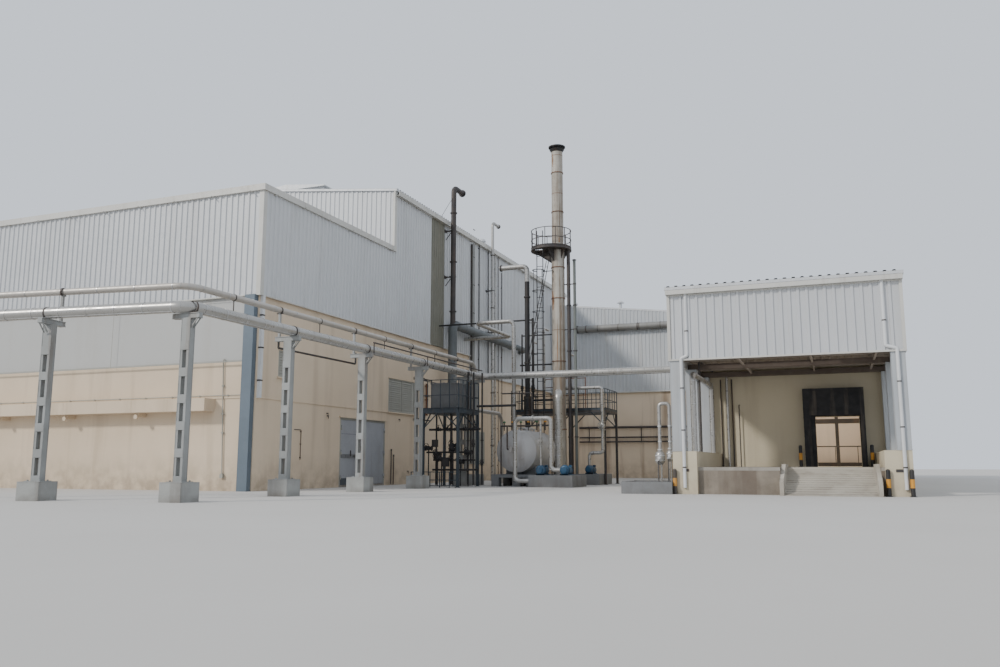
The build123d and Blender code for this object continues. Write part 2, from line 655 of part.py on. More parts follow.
def build_dock():
    """The loading dock: platform with a ramp cut in, posts on low walls, beams, side walls and back wall."""
    left, right, y0, back = DOCK_LEFT, DOCK_RIGHT, DOCK_FRONT, DOCK_BACK
    inner_left = left + SIDE_WALL
    inner_right = right - SIDE_WALL
    platform = box(inner_left, inner_right, y0 + PLATFORM_SET_BACK, back, 0, PLATFORM_TOP)
    platform -= box(RAMP_LEFT - KERB, RAMP_RIGHT + KERB, y0, RAMP_BACK, -1, PLATFORM_TOP + 1)
    add("dock_platform", platform)
    ramp = prism_x([(RAMP_FRONT, 0), (RAMP_BACK, PLATFORM_TOP), (RAMP_BACK, 0)], RAMP_LEFT, RAMP_RIGHT)
    kerb_top = PLATFORM_TOP + KERB_TOP
    kerb_line = [(RAMP_FRONT, 0), (RAMP_FRONT, KERB_RISE), (RAMP_BACK - KERB_LEVEL_RUN, kerb_top),
                 (RAMP_BACK, kerb_top), (RAMP_BACK, 0)]
    ramp += prism_x(kerb_line, RAMP_LEFT - KERB, RAMP_LEFT)
    ramp += prism_x(kerb_line, RAMP_RIGHT, RAMP_RIGHT + KERB)
    add("dock_ramp", ramp)
    add("dock_walls", box(left, inner_left, y0, back, 0, SIDE_WALL_TOP),
        box(inner_right, right, y0, back, 0, SIDE_WALL_TOP))
    spacing = (back - y0 - POST) / (POSTS - 1)
    for i in range(POSTS):
        y = y0 + i * spacing
        add("dock_frames", box(left, left + POST, y, y + POST, SIDE_WALL_TOP, DOCK_FASCIA_BOTTOM))
        add("dock_frames", box(right - POST, right, y, y + POST, SIDE_WALL_TOP, DOCK_FASCIA_BOTTOM))
        add("dock_beams", box(left + DOCK_SHEET, right - DOCK_SHEET, y + DOCK_SHEET, y + DOCK_SHEET + BEAM_WIDTH,
                              DOCK_FASCIA_BOTTOM, DOCK_FASCIA_BOTTOM + BEAM_HEIGHT))
    sx0, sx1, sz = SHELTER_OPENING
    wall = prism_x([(back, 0), (back + WALL, 0), (back + WALL, dock_under(back + WALL)), (back, dock_under(back))],
                   left, right)
    wall -= box(sx0, sx1, back - 1, back + WALL + 1, PLATFORM_TOP, sz)
    add("dock_walls", wall)
    hx0, hx1, hz = SHELTER
    shelter = box(hx0, hx1, back - SHELTER_DEPTH, back, PLATFORM_TOP, hz)
    shelter -= box(sx0, sx1, back - SHELTER_DEPTH - 1, back + 1, PLATFORM_TOP - 1, sz)
    add("dock_shelter", shelter)
    r = BOLLARD_RADIUS
    front = y0 - r - BOLLARD_CLEARANCE
    inner = back - SHELTER_DEPTH - r
    for x in (left + r, inner_right + r, right - r):
        add("dock_bollards", post(x, front, r, 0, BOLLARD_HEIGHT))
    for x in (hx0 - 3 * r, hx1 + 3 * r):
        add("dock_bollards", post(x, inner, r, PLATFORM_TOP, PLATFORM_TOP + BOLLARD_HEIGHT))


def build_dock_cover():
    """Fascia, side sheets, roof, gutter and downpipes of the dock, and the link behind it."""
    left, right, y0, back = DOCK_LEFT, DOCK_RIGHT, DOCK_FRONT, DOCK_BACK
    face = y0 + DOCK_SHEET
    side_line = [(face, DOCK_FASCIA_BOTTOM), (back, DOCK_FASCIA_BOTTOM), (back, dock_under(back)),
                 (face, dock_under(face))]
    add("dock_fascia", box(left, right, y0, face, DOCK_FASCIA_BOTTOM, DOCK_EAVE),
        prism_x(side_line, left, left + DOCK_SHEET) + prism_x(side_line, right - DOCK_SHEET, right))
    roof_end = WING_START - SHEET
    lip = y0 - DOCK_ROOF_LIP
    roof = prism_x([(lip, dock_under(lip)), (roof_end, dock_under(roof_end)),
                    (roof_end, dock_under(roof_end) + ROOF_SHEET), (lip, dock_under(lip) + ROOF_SHEET)],
                   left - EAVE_OVERHANG, right + EAVE_OVERHANG)
    roof -= box(left - EAVE_OVERHANG - 1, right + EAVE_OVERHANG + 1, lip - 1, face, DOCK_EAVE - PANEL, DOCK_EAVE)
    add("dock_roof", roof)
    w = GUTTER_WALL
    bottom = DOCK_EAVE - DOCK_GUTTER_BOTTOM
    gutter = box(left - 40, right + 40, y0 - DOCK_GUTTER_DEPTH, y0, bottom, DOCK_EAVE - DOCK_GUTTER_TOP)
    gutter -= box(left - 40 + w, right + 40 - w, y0 - DOCK_GUTTER_DEPTH + w, y0 - w, bottom + w, DOCK_EAVE)
    add("eave_gutters", gutter)
    drop_y = y0 - DOWNPIPE / 2
    for upper_x, upper_z, lower_x, lower_z in (LEFT_DROP, RIGHT_DROP):
        add("white_downpipes", pipe([(upper_x, drop_y, bottom - 1), (upper_x, drop_y, upper_z),
                                     (lower_x, drop_y, lower_z), (lower_x, drop_y, DOWNPIPE_END)],
                                    DOWNPIPE, DOWNPIPE_BEND))
    side = [(back + WALL, 0), (roof_end, 0), (roof_end, dock_under(roof_end)), (back + WALL, dock_under(back + WALL))]
    add("dock_link", prism_x(side, left, left + WALL), prism_x(side, right - WALL, right))
    add("dock_link", box(left + WALL, right - WALL, back + WALL, roof_end, PLATFORM_TOP - PANEL, PLATFORM_TOP))
    first, second = DOCK_PIPE_Y
    add("insulated_pipes", pipe([(DOCK_PIPE_X, first, SIDE_WALL_TOP), (DOCK_PIPE_X, first, DOCK_PIPE_LEVEL),
                                 (DOCK_PIPE_X, second, DOCK_PIPE_LEVEL), (DOCK_PIPE_X, second, SIDE_WALL_TOP)],
                                DOCK_PIPE, DOCK_PIPE))


def ring_rail(x, y, radius, z):
    """A round railing: top, middle and kick rails on uprights."""
    pieces = []
    for level in (RAIL_HEIGHT, RAIL_HEIGHT / 2, KICK_RAIL):
        pieces.append(Pos(x, y, z + level) * (Cylinder(radius, RAIL_BAR) - Cylinder(radius - RAIL_BAR, RAIL_BAR)))
    mid = radius - RAIL_BAR / 2
    for i in range(RAIL_POSTS):
        angle = radians(360 * i / RAIL_POSTS)
        bar = Rot(0, 0, degrees(angle)) * Box(RAIL_BAR, RAIL_BAR, RAIL_HEIGHT)
        pieces.append(Pos(x + mid * cos(angle), y + mid * sin(angle), z + RAIL_HEIGHT / 2) * bar)
    return all_of(pieces)


def build_stack():
    """The steel stack: plinth, two shell lengths with rings, flared collar and cap on four studs."""
    x, y = STACK_X, STACK_Y
    add("concrete_plinths", box(x - STACK_PLINTH, x + STACK_PLINTH, y - STACK_PLINTH, y + STACK_PLINTH,
                                0, STACK_PLINTH))
    upper0 = STACK_LANDING + STACK_SHOULDER
    collar0 = STACK_TOP - COLLAR
    shell = post(x, y, STACK_LOWER_RADIUS, STACK_PLINTH, STACK_LANDING)
    shell += Pos(x, y, STACK_LANDING + STACK_SHOULDER / 2) * Cone(STACK_LOWER_RADIUS, STACK_UPPER_RADIUS,
                                                                  STACK_SHOULDER)
    shell += post(x, y, STACK_UPPER_RADIUS, upper0, collar0)
    shell -= post(x, y, STACK_UPPER_RADIUS - STACK_WALL, STACK_PLINTH + STACK_WALL, STACK_TOP)
    rings = [(z, STACK_LOWER_RADIUS) for z in LOWER_RINGS]
    rings += [(upper0 + share * (collar0 - upper0), STACK_UPPER_RADIUS) for share in UPPER_RINGS]
    for z, radius in rings:
        shell += (post(x, y, radius + STACK_RING, z, z + STACK_RING_HEIGHT)
                  - post(x, y, radius - STACK_WALL / 2, z, z + STACK_RING_HEIGHT))
    add("stack_shell", shell)
    cap = Pos(x, y, collar0 + COLLAR / 2) * Cone(STACK_UPPER_RADIUS, STACK_UPPER_RADIUS + COLLAR_FLARE, COLLAR)
    cap -= post(x, y, STACK_UPPER_RADIUS - STACK_WALL, collar0, STACK_TOP)
    cap += post(x, y, STACK_CAP_RADIUS, STACK_TOP + CAP_GAP, STACK_TOP + CAP_GAP + CAP_PLATE)
    reach = STACK_UPPER_RADIUS + STACK_RING
    for angle in (45, 135, 225, 315):
        a = radians(angle)
        cap += post(x + reach * cos(a), y + reach * sin(a), 10, STACK_TOP, STACK_TOP + CAP_GAP)
    add("stack_cap", cap)


def build_landing():
    """The round landing near the stack's top, with its hatch, arms and railing."""
    x, y, z = STACK_X, STACK_Y, STACK_LANDING
    hole = STACK_LOWER_RADIUS + CLEARANCE
    middle = x - LANDING_SHIFT
    landing = post(middle, y, LANDING_RADIUS, z - GRATING, z) - post(x, y, hole, z - GRATING, z)
    hx0, hx1, hy0, hy1 = HATCH
    landing -= box(hx0, hx1, hy0, hy1, z - GRATING, z)
    half = RAIL_BAR * 0.6
    for angle, reach in LANDING_ARMS:
        arm = prism_y([(STACK_LOWER_RADIUS / 2, z - GRATING), (reach, z - GRATING),
                       (STACK_LOWER_RADIUS / 2, z - GRATING - ARM_DEPTH)], -half, half)
        arm -= post(0, 0, hole, z - 2 * ARM_DEPTH, z)
        landing += Pos(x, y, 0) * Rot(0, 0, angle) * arm
    add("stack_landing", landing)
    add("stack_landing", ring_rail(middle, y, LANDING_RADIUS, z))


def build_ladder():
    """The caged ladder beside the stack, from the ground up through the landing's hatch."""
    x0 = LADDER_X
    x1 = x0 + LADDER_WIDTH
    y = LADDER_Y
    side = LADDER_SIDE
    top = STACK_LANDING + RAIL_HEIGHT
    deep = LADDER_DEPTH / 2
    pieces = [box(x0, x0 + side, y - deep, y + deep, 0, top), box(x1 - side, x1, y - deep, y + deep, 0, top)]
    for i in range(int(top / LADDER_RUNG_PITCH)):
        z = LADDER_RUNG_PITCH * (i + 0.5)
        pieces.append(box(x0 + side / 2, x1 - side / 2, y - 7, y + 7, z, z + 14))
    for z in LADDER_TIES:
        reach = STACK_X - STACK_LOWER_RADIUS / 2
        tie = box(x1 - side / 2, reach, y - 10, y + 10, z - 10, z + 10)
        tie += box(reach - 20, reach, y - 10, STACK_Y, z - 10, z + 10)
        pieces.append(tie - post(STACK_X, STACK_Y, STACK_LOWER_RADIUS + CLEARANCE, z - 20, z + 20))
    add("stack_ladder", all_of(pieces))


def build_cage():
    """The ladder's cage: hoops of mitred flat bars with three uprights seated inside them."""
    cx = LADDER_X + LADDER_WIDTH / 2
    cy = LADDER_Y - LADDER_DEPTH / 2 - CLEARANCE - CAGE_RADIUS * sin(radians(CAGE_SPAN))
    outer = CAGE_RADIUS
    inner = CAGE_RADIUS - CAGE_BAR
    gap = degrees(CLEARANCE / 2 / inner)
    sweep = (360 - 2 * (90 - CAGE_SPAN)) / CAGE_CHORDS
    for i in range(int((CAGE_END - CAGE_START) / CAGE_PITCH) + 1):
        z = CAGE_START + i * CAGE_PITCH
        for k in range(CAGE_CHORDS):
            first = radians(180 - CAGE_SPAN + k * sweep + gap)
            last = radians(180 - CAGE_SPAN + (k + 1) * sweep - gap)
            line = [(cx + r * cos(a), cy + r * sin(a), z) for r, a in
                    ((outer, first), (outer, last), (inner, last), (inner, first))]
            add("ladder_cage", extrude(make_face(Polyline(*line, close=True)), LADDER_SIDE, dir=(0, 0, 1)))
    reach = inner * cos(radians(sweep / 2)) - CAGE_BAR
    for angle in CAGE_UPRIGHTS:
        bar_x = cx + reach * cos(radians(angle))
        bar_y = cy + reach * sin(radians(angle))
        add("ladder_cage", box(bar_x - CAGE_BAR / 2, bar_x + CAGE_BAR / 2, bar_y - CAGE_BAR / 2,
                               bar_y + CAGE_BAR / 2, CAGE_START, CAGE_END + LADDER_SIDE))


def build_tank():
    """The horizontal receiver: shell, two dished heads, saddles and a slab on short piers."""
    x, r = TANK_X, TANK_RADIUS
    z = TANK_SLAB_TOP + TANK_CLEARANCE + r
    y0, y1 = TANK_START, TANK_START + TANK_LENGTH
    add("tank_shell", turned(x, y0, z, r, TANK_LENGTH) - turned(x, y0, z, r - TANK_WALL, TANK_LENGTH))
    ball = (r * r + TANK_HEAD * TANK_HEAD) / (2 * TANK_HEAD)
    dish = Pos(x, y0 - TANK_HEAD + ball, z) * (Sphere(ball) - Sphere(ball - TANK_WALL))
    head = dish & turned(x, y0 - TANK_HEAD - 1, z, r, TANK_HEAD + 1)
    add("tank_heads", head)
    add("tank_heads", mirror(head, Plane(origin=(x, (y0 + y1) / 2, z), z_dir=(0, 1, 0))))
    slab0 = y0 - PANEL
    slab1 = y1 + TANK_SLAB
    slab = box(x - 650, x + 500, slab0, slab1, TANK_SLAB_TOP - TANK_SLAB, TANK_SLAB_TOP)
    pier = TANK_PIER
    for y in (slab0, (slab0 + slab1 - pier) / 2, slab1 - pier):
        for px in (x - 650, x - 75, x + 500 - pier):
            slab += box(px, px + pier, y, y + pier, 0, TANK_SLAB_TOP - TANK_SLAB)
    for y in (y0 + TANK_LENGTH / 5, y1 - TANK_LENGTH / 5 - SADDLE):
        saddle = box(x - 400, x + 400, y, y + SADDLE, TANK_SLAB_TOP, z - 200)
        slab += saddle - turned(x, y0, z, r + CLEARANCE, TANK_LENGTH)
    add("tank_slab", slab)


def rack_post():
    """One battened post of two channels, standing on its pedestal at the origin."""
    half = RACK_POST_WIDTH / 2
    deep = RACK_POST_DEPTH / 2
    body = box(-half, half, -deep, deep, PEDESTAL_TOP, RACK_POST_TOP)
    for k in range(SLOTS):
        z = PEDESTAL_TOP + SLOT_START + k * SLOT_PITCH
        body -= box(-half + RACK_CHANNEL, half - RACK_CHANNEL, -deep - 1, deep + 1, z, z + SLOT_HEIGHT)
    return body


def build_rack():
    """The pipe rack: pedestals, battened posts, crossheads and its two long pipes."""
    top = RACK_POST_TOP + CROSSHEAD
    stub_top = top + UPPER_PIPE_RISE - UPPER_PIPE / 2
    half = PEDESTAL / 2
    reach = CROSSHEAD_LENGTH / 2
    west = Rot(0, 0, 180 + RACK_WEST_TURN)

    def out_west(run, aside):
        turn = radians(180 + RACK_WEST_TURN)
        return (RACK_X + run * cos(turn) - aside * sin(turn), RACK_START + run * sin(turn) + aside * cos(turn))

    pedestal = box(-half, half, -half, half, 0, PEDESTAL_TOP)
    for i in range(RACK_POSTS):
        place = Pos(RACK_X, RACK_START + i * RACK_PITCH, 0)
        head = box(-UPPER_PIPE_OFFSET - 60, reach, -40, 40, RACK_POST_TOP, top)
        if i > 0:
            head += box(-UPPER_PIPE_OFFSET - 20, -UPPER_PIPE_OFFSET + 20, -20, 20, top, stub_top)
        add("rack_pedestals", place * pedestal)
        add("rack_posts", place * (rack_post() + head))
    for i in range(1, RACK_WEST_POSTS + 1):
        place = Pos(*out_west(i * RACK_WEST_PITCH, 0), 0) * west
        head = box(-40, 40, -UPPER_PIPE_OFFSET - 60, reach, RACK_POST_TOP, top)
        head += box(-20, 20, -UPPER_PIPE_OFFSET - 20, -UPPER_PIPE_OFFSET + 20, top, stub_top)
        add("rack_pedestals", place * pedestal)
        add("rack_posts", place * (rack_post() + head))
    cx, cy = RACK_CORNER_POST
    add("rack_pedestals", box(cx - 150, cx + 150, cy - 150, cy + 150, 0, PEDESTAL_TOP))
    add("rack_posts", box(cx - 40, cx + 40, cy - 40, cy + 40, PEDESTAL_TOP, RACK_POST_TOP)
        + box(cx - 80, cx + 220, cy - 40, cy + 40, RACK_POST_TOP, top))
    end = RACK_WEST_POSTS * RACK_WEST_PITCH + BEND
    z = top + LOWER_PIPE / 2
    x = RACK_X + LOWER_PIPE_OFFSET
    corner = (x, RACK_START - LOWER_PIPE_OFFSET)
    lower = [(*out_west(end, LOWER_PIPE_OFFSET), z), (*corner, z), (x, RACK_TURN, z), (DROP_X, RACK_TURN, z),
             (DROP_X, RACK_TURN, DROP_FOOT)]
    add("rack_lower_pipe", pipe(lower, LOWER_PIPE, BEND))
    foot = PEDESTAL / 2 - PEDESTAL / 8
    add("concrete_plinths", box(DROP_X - foot, DROP_X + foot, RACK_TURN - foot, RACK_TURN + foot, 0, DROP_FOOT))
    z = top + UPPER_PIPE_RISE
    x = RACK_X - UPPER_PIPE_OFFSET
    drop_y, drop_z, end_y = UPPER_PIPE_END
    upper = [(*out_west(end, -UPPER_PIPE_OFFSET), z), (x, RACK_START + UPPER_PIPE_OFFSET, z), (x, drop_y, z),
             (x, drop_y, drop_z), (x, end_y, drop_z), (x, end_y, 0)]
    add("rack_upper_pipe", pipe(upper, UPPER_PIPE, BEND))


def rail_panel(length, height):
    """One flat railing panel along X from the origin, fused where its bars meet."""
    b = RAIL_BAR
    pieces = [box(0, length, 0, b, level - b, level) for level in (height, height / 2, KICK_RAIL)]
    count = max(1, round(length / RAIL_PITCH))
    for i in range(count + 1):
        x = (length - b) * i / count
        pieces.append(box(x, x + b, 0, b, 0, height))
    return all_of(pieces)


def railing(x0, x1, y0, y1, z, height):
    """Four railing panels round a floor, each its own solid."""
    b = RAIL_BAR
    gap = b + RAIL_GAP
    add("yard_railings", Pos(x0, y0, z) * rail_panel(x1 - x0, height), Pos(x0, y1 - b, z) * rail_panel(x1 - x0, height))
    side = y1 - y0 - 2 * gap
    for x in (x0 + b, x1):
        add("yard_railings", Pos(x, y0 + gap, z) * Rot(0, 0, 90) * rail_panel(side, height))


def build_yard():
    """Service platform, walkway, railings, housing, plinths, pumps, tray and vessels."""
    leg = PLATFORM_LEG
    for name, place, middle_legs in (("service_platform", SERVICE_PLATFORM, ()), ("rear_walkway", WALKWAY, (1400,))):
        x0, x1, y0, y1, z, height = place
        pieces = [box(x0, x1, y0, y1, z - PLATFORM_FLOOR, z)]
        for x in (x0, *(x0 + run for run in middle_legs), x1 - leg):
            for y in (y0, y1 - leg):
                pieces.append(box(x, x + leg, y, y + leg, 0, z - PLATFORM_FLOOR))
        add(name, all_of(pieces))
        railing(x0, x1, y0, y1, z, height)
    gx0, gx1, gy, height = GUARD_RAIL
    add("yard_railings", Pos(gx0, gy, 0) * rail_panel(gx1 - gx0, height))
    hx0, hx1, hy0, hy1, tall = HOUSING
    floor = SERVICE_PLATFORM[4]
    add("platform_housing", box(hx0, hx1, hy0, hy1, floor, floor + tall))
    add("concrete_plinths", box(*PUMP_PLINTH, 0, PLINTH_TOP), box(*REAR_PLINTH, 0, PLINTH_TOP))
    level = PLINTH_TOP + PUMP_BASE
    for x, y in PUMPS:
        start = y - PUMP_CASING_WIDTH / 2
        motor_start = y + PUMP_CASING_WIDTH / 2 - 1
        base = box(x - 110, x + 110, start - 20, motor_start + PUMP_MOTOR_LENGTH + 20, PLINTH_TOP, level)
        motor = turned(x, motor_start, level + PUMP_MOTOR - 10, PUMP_MOTOR, PUMP_MOTOR_LENGTH)
        add("pumps", base + motor + turned(x, start, level + PUMP_MOTOR, PUMP_CASING, PUMP_CASING_WIDTH))
    tx0, ty0, ty1, tray_top = TRAY
    w = TRAY_WALL
    tray = box(tx0, DOCK_LEFT, ty0, ty1, 0, tray_top) - box(tx0 + w, DOCK_LEFT - w, ty0 + w, ty1 - w, w, tray_top + 1)
    add("concrete_plinths", tray)
    y = VESSEL_Y
    pieces = []
    for x, r, middle, spread in VESSELS:
        z0 = middle - VESSEL_LENGTH / 2
        z1 = middle + VESSEL_LENGTH / 2
        pieces.append(post(x, y, r, z0, z1) + Pos(x, y, z0) * Sphere(r) + Pos(x, y, z1) * Sphere(r))
        for dx, dy in ((-spread, 0), (spread / 2, spread), (spread / 2, -spread)):
            pieces.append(post(x + dx, y + dy, 10, w, z0))
    xa, xb = VESSELS[0][0], VESSELS[1][0]
    pieces.append(pipe([(xa, y, VESSELS[0][2]), (xa, y, VESSEL_PIPE_TOP), (xb, y, VESSEL_PIPE_TOP),
                        (xb, y, VESSELS[1][2])], VESSEL_PIPE, VESSEL_PIPE))
    add("condensate_vessels", all_of(pieces))


def build_pipes():
    """Duct and vents by the long side, the steam line, the manifold, the pump line and the stack's risers."""
    x, y = DUCT_X, DUCT_Y
    duct = pipe([(0, y, DUCT_BOTTOM), (x, y, DUCT_BOTTOM), (x, y, DUCT_TOP), (x, DUCT_END, DUCT_TOP)], DUCT, DUCT * 0.7)
    add("branch_duct", duct + pipe([(x, DUCT_END - 1, DUCT_TOP), (x, DUCT_TAIL_END, DUCT_TOP),
                                    (SHEET, DUCT_TAIL_END, DUCT_TOP)], DUCT_TAIL, DUCT_TAIL))
    near = pipe([(x, y, DUCT_TOP), (x, y, NEAR_VENT_TOP), (x, y + NEAR_VENT_REACH, NEAR_VENT_TOP)], NEAR_VENT,
                NEAR_VENT * 1.1) - duct
    b = VENT_BRACKET
    for z in (6400, 7900):
        near += box(SHEET, x, y - b / 2, y + b / 2, z, z + b)
    add("vent_pipes", near)
    mx, my, mz = MIDDLE_VENT_AT
    middle = pipe([(mx, my, 0), (mx, my, mz), (mx, my + MIDDLE_VENT_REACH, mz)], MIDDLE_VENT, MIDDLE_VENT * 1.4)
    for z in (5100, 6600):
        middle += box(SHEET, mx, my - b / 3, my + b / 3, z, z + b)
    add("vent_pipes", middle - duct)
    fx, fy, fz = FAR_VENT_AT
    far = pipe([(fx, fy, 0), (fx, fy, fz), (FAR_VENT_END, fy, fz)], FAR_VENT, FAR_VENT)
    far += post(fx, fy, *SILENCER)
    far += box(fx, LADDER_X, fy - b / 2, fy - b / 4, 4530, 4550)
    add("vent_pipes", far)
    sx, sy = STEAM_LEG
    tx, ty = STEAM_TURN
    add("insulated_pipes", pipe([(sx, sy, 0), (sx, sy, STEAM_TOP), (tx, sy, STEAM_TOP), (tx, ty, STEAM_TOP),
                                 (SHEET, ty, STEAM_TOP)], STEAM_PIPE, STEAM_PIPE * 1.3))
    stack = post(STACK_X, STACK_Y, STACK_LOWER_RADIUS, 0, STACK_LANDING)
    px, py = FLUE_AT
    flue = pipe([(px, py, PLINTH_TOP), (px, py, FLUE_TOP), (STACK_X, STACK_Y, FLUE_TOP)], FLUE, FLUE)
    add("insulated_pipes", flue - stack)
    casing_z = PLINTH_TOP + PUMP_BASE + PUMP_MOTOR
    casings = []
    for cx, cy in PUMPS:
        casings.append(turned(cx, cy - PUMP_CASING_WIDTH, casing_z, PUMP_CASING, 2 * PUMP_CASING_WIDTH))
    left, right = MANIFOLD_LEGS
    front = PUMPS[0][1]
    manifold = pipe([(PUMP_PLINTH[0], front, MANIFOLD_FOOT), (left, front, MANIFOLD_FOOT), (left, front, MANIFOLD_TOP),
                     (right, front, MANIFOLD_TOP), (right, front, casing_z), (PUMPS[1][0], front, casing_z)],
                    MANIFOLD, MANIFOLD)
    manifold += post(PUMPS[0][0], front, PUMP_DROP / 2, casing_z, MANIFOLD_TOP)
    for casing in casings:
        manifold -= casing
    add("insulated_pipes", manifold)
    low, high = PUMP_LINE_LEVELS
    lx, ly = PUMPS[2]
    line = pipe([(lx, ly, casing_z), (lx, ly, low), (PUMP_LINE_X, ly, low), (PUMP_LINE_X, ly, high),
                 (STACK_X, ly, high)], PUMP_LINE, PUMP_LINE)
    add("insulated_pipes", line - casings[2] - stack)
    risers = []
    for rx, radius, z0, z1 in RISERS:
        risers.append(post(rx, STACK_Y, radius, z0, z1))
    for z in RISER_TIES:
        risers.append(box(STACK_X, RISERS[1][0], STACK_Y - 12, STACK_Y + 12, z, z + STACK_RING_HEIGHT))
    add("side_risers", all_of(risers) - stack)


build_hall_walls()
build_hall_cladding()
build_hall_roof()
build_hall_trims()
build_openings()
build_door_leaves()
build_wing()
build_dock()
build_dock_cover()
build_stack()
build_landing()
build_ladder()
build_cage()
build_tank()
build_rack()
build_yard()
build_pipes()
write_nodes()
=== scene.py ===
"""Looks of the factory building: ribbed sheets, pipework, plant, finishes, light and camera.

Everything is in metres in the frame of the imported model, a scale model at 1:2.
"""
from __future__ import annotations

import json
import logging
import math
import random
from dataclasses import dataclass, field
from enum import Enum
from typing import Callable, Iterable, Sequence

import bpy
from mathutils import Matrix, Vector

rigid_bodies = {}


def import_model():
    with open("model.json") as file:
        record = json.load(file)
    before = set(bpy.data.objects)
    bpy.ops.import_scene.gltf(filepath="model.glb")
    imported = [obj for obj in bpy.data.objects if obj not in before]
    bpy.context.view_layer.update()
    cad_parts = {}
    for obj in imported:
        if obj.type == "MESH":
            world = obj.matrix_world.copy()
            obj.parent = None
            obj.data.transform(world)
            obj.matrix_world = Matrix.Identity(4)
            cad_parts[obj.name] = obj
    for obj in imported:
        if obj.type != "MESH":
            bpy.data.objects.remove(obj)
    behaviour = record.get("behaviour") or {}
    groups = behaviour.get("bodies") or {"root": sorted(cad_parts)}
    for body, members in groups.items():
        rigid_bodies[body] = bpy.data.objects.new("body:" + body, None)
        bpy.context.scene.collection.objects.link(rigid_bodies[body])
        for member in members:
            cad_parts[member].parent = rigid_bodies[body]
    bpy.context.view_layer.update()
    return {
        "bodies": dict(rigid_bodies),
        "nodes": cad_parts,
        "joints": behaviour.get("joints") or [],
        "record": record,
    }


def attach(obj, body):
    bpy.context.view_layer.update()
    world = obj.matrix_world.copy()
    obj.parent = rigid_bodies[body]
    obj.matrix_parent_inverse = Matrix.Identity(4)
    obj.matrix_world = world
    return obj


LOG = logging.getLogger("factory")
BODY = "building"
Colour = tuple[float, float, float]
Point = tuple[float, float, float]
Profile = Sequence[tuple[float, float]]
Box = tuple[Point, Point]
Socket = bpy.types.NodeSocket
# A valve's body and bonnet: radius and level at each turn, as shares of the pipe's radius; the body's
# levels are shares of its half length
VALVE_BODY = ((1.0, -1.0), (1.15, -0.6), (1.7, -0.2), (1.7, 0.2), (1.15, 0.6), (1.0, 1.0))
VALVE_BONNET = ((0.9, 0.0), (0.9, 2.0), (1.3, 2.0), (1.3, 2.4), (0.5, 2.5))


class Axis(Enum):
    """The directions of the model: out of the long side, towards the rear wing, and up."""

    EAST = Vector((1, 0, 0))
    NORTH = Vector((0, 1, 0))
    UP = Vector((0, 0, 1))


EAST, NORTH, UP = (axis.value for axis in Axis)


def axes(axis: Vector) -> tuple[Vector, Vector, Vector]:
    """Gives a direction at length one and two more that are square to it.

    Args:
        axis: The direction.

    Returns:
        The direction and the two across it.
    """
    along = Vector(axis).normalized()
    side = along.orthogonal().normalized()
    return along, side, along.cross(side)


def angles(count: int) -> list[float]:
    """Lists evenly spaced angles round a circle."""
    return [2 * math.pi * k / count for k in range(count)]


def spoke(side: Vector, across: Vector, angle: float) -> Vector:
    """Gives the direction at an angle from one direction towards another."""
    return side * math.cos(angle) + across * math.sin(angle)


def circle(centre: Vector, side: Vector, across: Vector, radius: float, sides: int) -> list[Vector]:
    """Lists the points of a circle, from one direction towards another."""
    return [centre + spoke(side, across, angle) * radius for angle in angles(sides)]


class NodeKit:
    """Short calls for wiring one material's nodes."""

    def __init__(self, name: str) -> None:
        """Starts an empty material.

        Args:
            name: The material's name.
        """
        self.material = bpy.data.materials.new(name)
        self.material.use_nodes = True
        self.tree = self.material.node_tree
        self.shader = self.tree.nodes["Principled BSDF"]
        self.coords = self.tree.nodes.new("ShaderNodeTexCoord").outputs["Object"]

    def add(self, kind: str, output: str | int, inputs: dict, **settings: str) -> Socket:
        """Adds a node.

        Args:
            kind: The node's type.
            output: The name or number of the output to give.
            inputs: A value or a socket for each input, by its name or number.
            settings: The node's own settings.

        Returns:
            The output's socket.
        """
        node = self.tree.nodes.new(kind)
        for name, setting in settings.items():
            setattr(node, name, setting)
        for key, value in inputs.items():
            if isinstance(value, Socket):
                self.tree.links.new(value, node.inputs[key])
            else:
                node.inputs[key].default_value = value
        return node.outputs[output]

    def noise(self, scale: float, detail: float = 4.0, squeeze: Point = (1, 1, 1)) -> Socket:
        """Adds a noise texture in object space: waves per metre, octaves and stretch along each axis."""
        space = self.add("ShaderNodeMapping", "Vector", {"Vector": self.coords, "Scale": squeeze})
        return self.add("ShaderNodeTexNoise", "Fac",
                        {"Vector": space, "Scale": scale, "Detail": detail, "Roughness": 0.55})

    def span(self, value: Socket, low: float, high: float, to_low: float = 0.0,
             to_high: float = 1.0) -> Socket:
        """Maps a stretch of a value onto another, clamped."""
        return self.add("ShaderNodeMapRange", "Result", {"Value": value, "From Min": low, "From Max": high,
                                                         "To Min": to_low, "To Max": to_high})

    def times(self, first: Socket, second: Socket | float) -> Socket:
        """Multiplies two sockets, or a socket and a number."""
        return self.add("ShaderNodeMath", 0, {0: first, 1: second}, operation="MULTIPLY")

    def blend(self, factor: Socket, below: Socket | Colour, above: Colour) -> Socket:
        """Lays a colour over another, which may be a socket, by a factor."""
        lower = (*below, 1.0) if isinstance(below, tuple) else below
        return self.add("ShaderNodeMix", 2, {0: factor, 6: lower, 7: (*above, 1.0)}, data_type="RGBA")

    def height(self) -> Socket:
        """Gives the socket of the height above the ground."""
        return self.add("ShaderNodeSeparateXYZ", "Z", {0: self.coords})

    def relief(self, value: Socket, depth: float) -> None:
        """Raises the surface by a value, to a depth in metres."""
        normal = self.add("ShaderNodeBump", "Normal", {"Distance": depth, "Height": value})
        self.tree.links.new(normal, self.shader.inputs["Normal"])


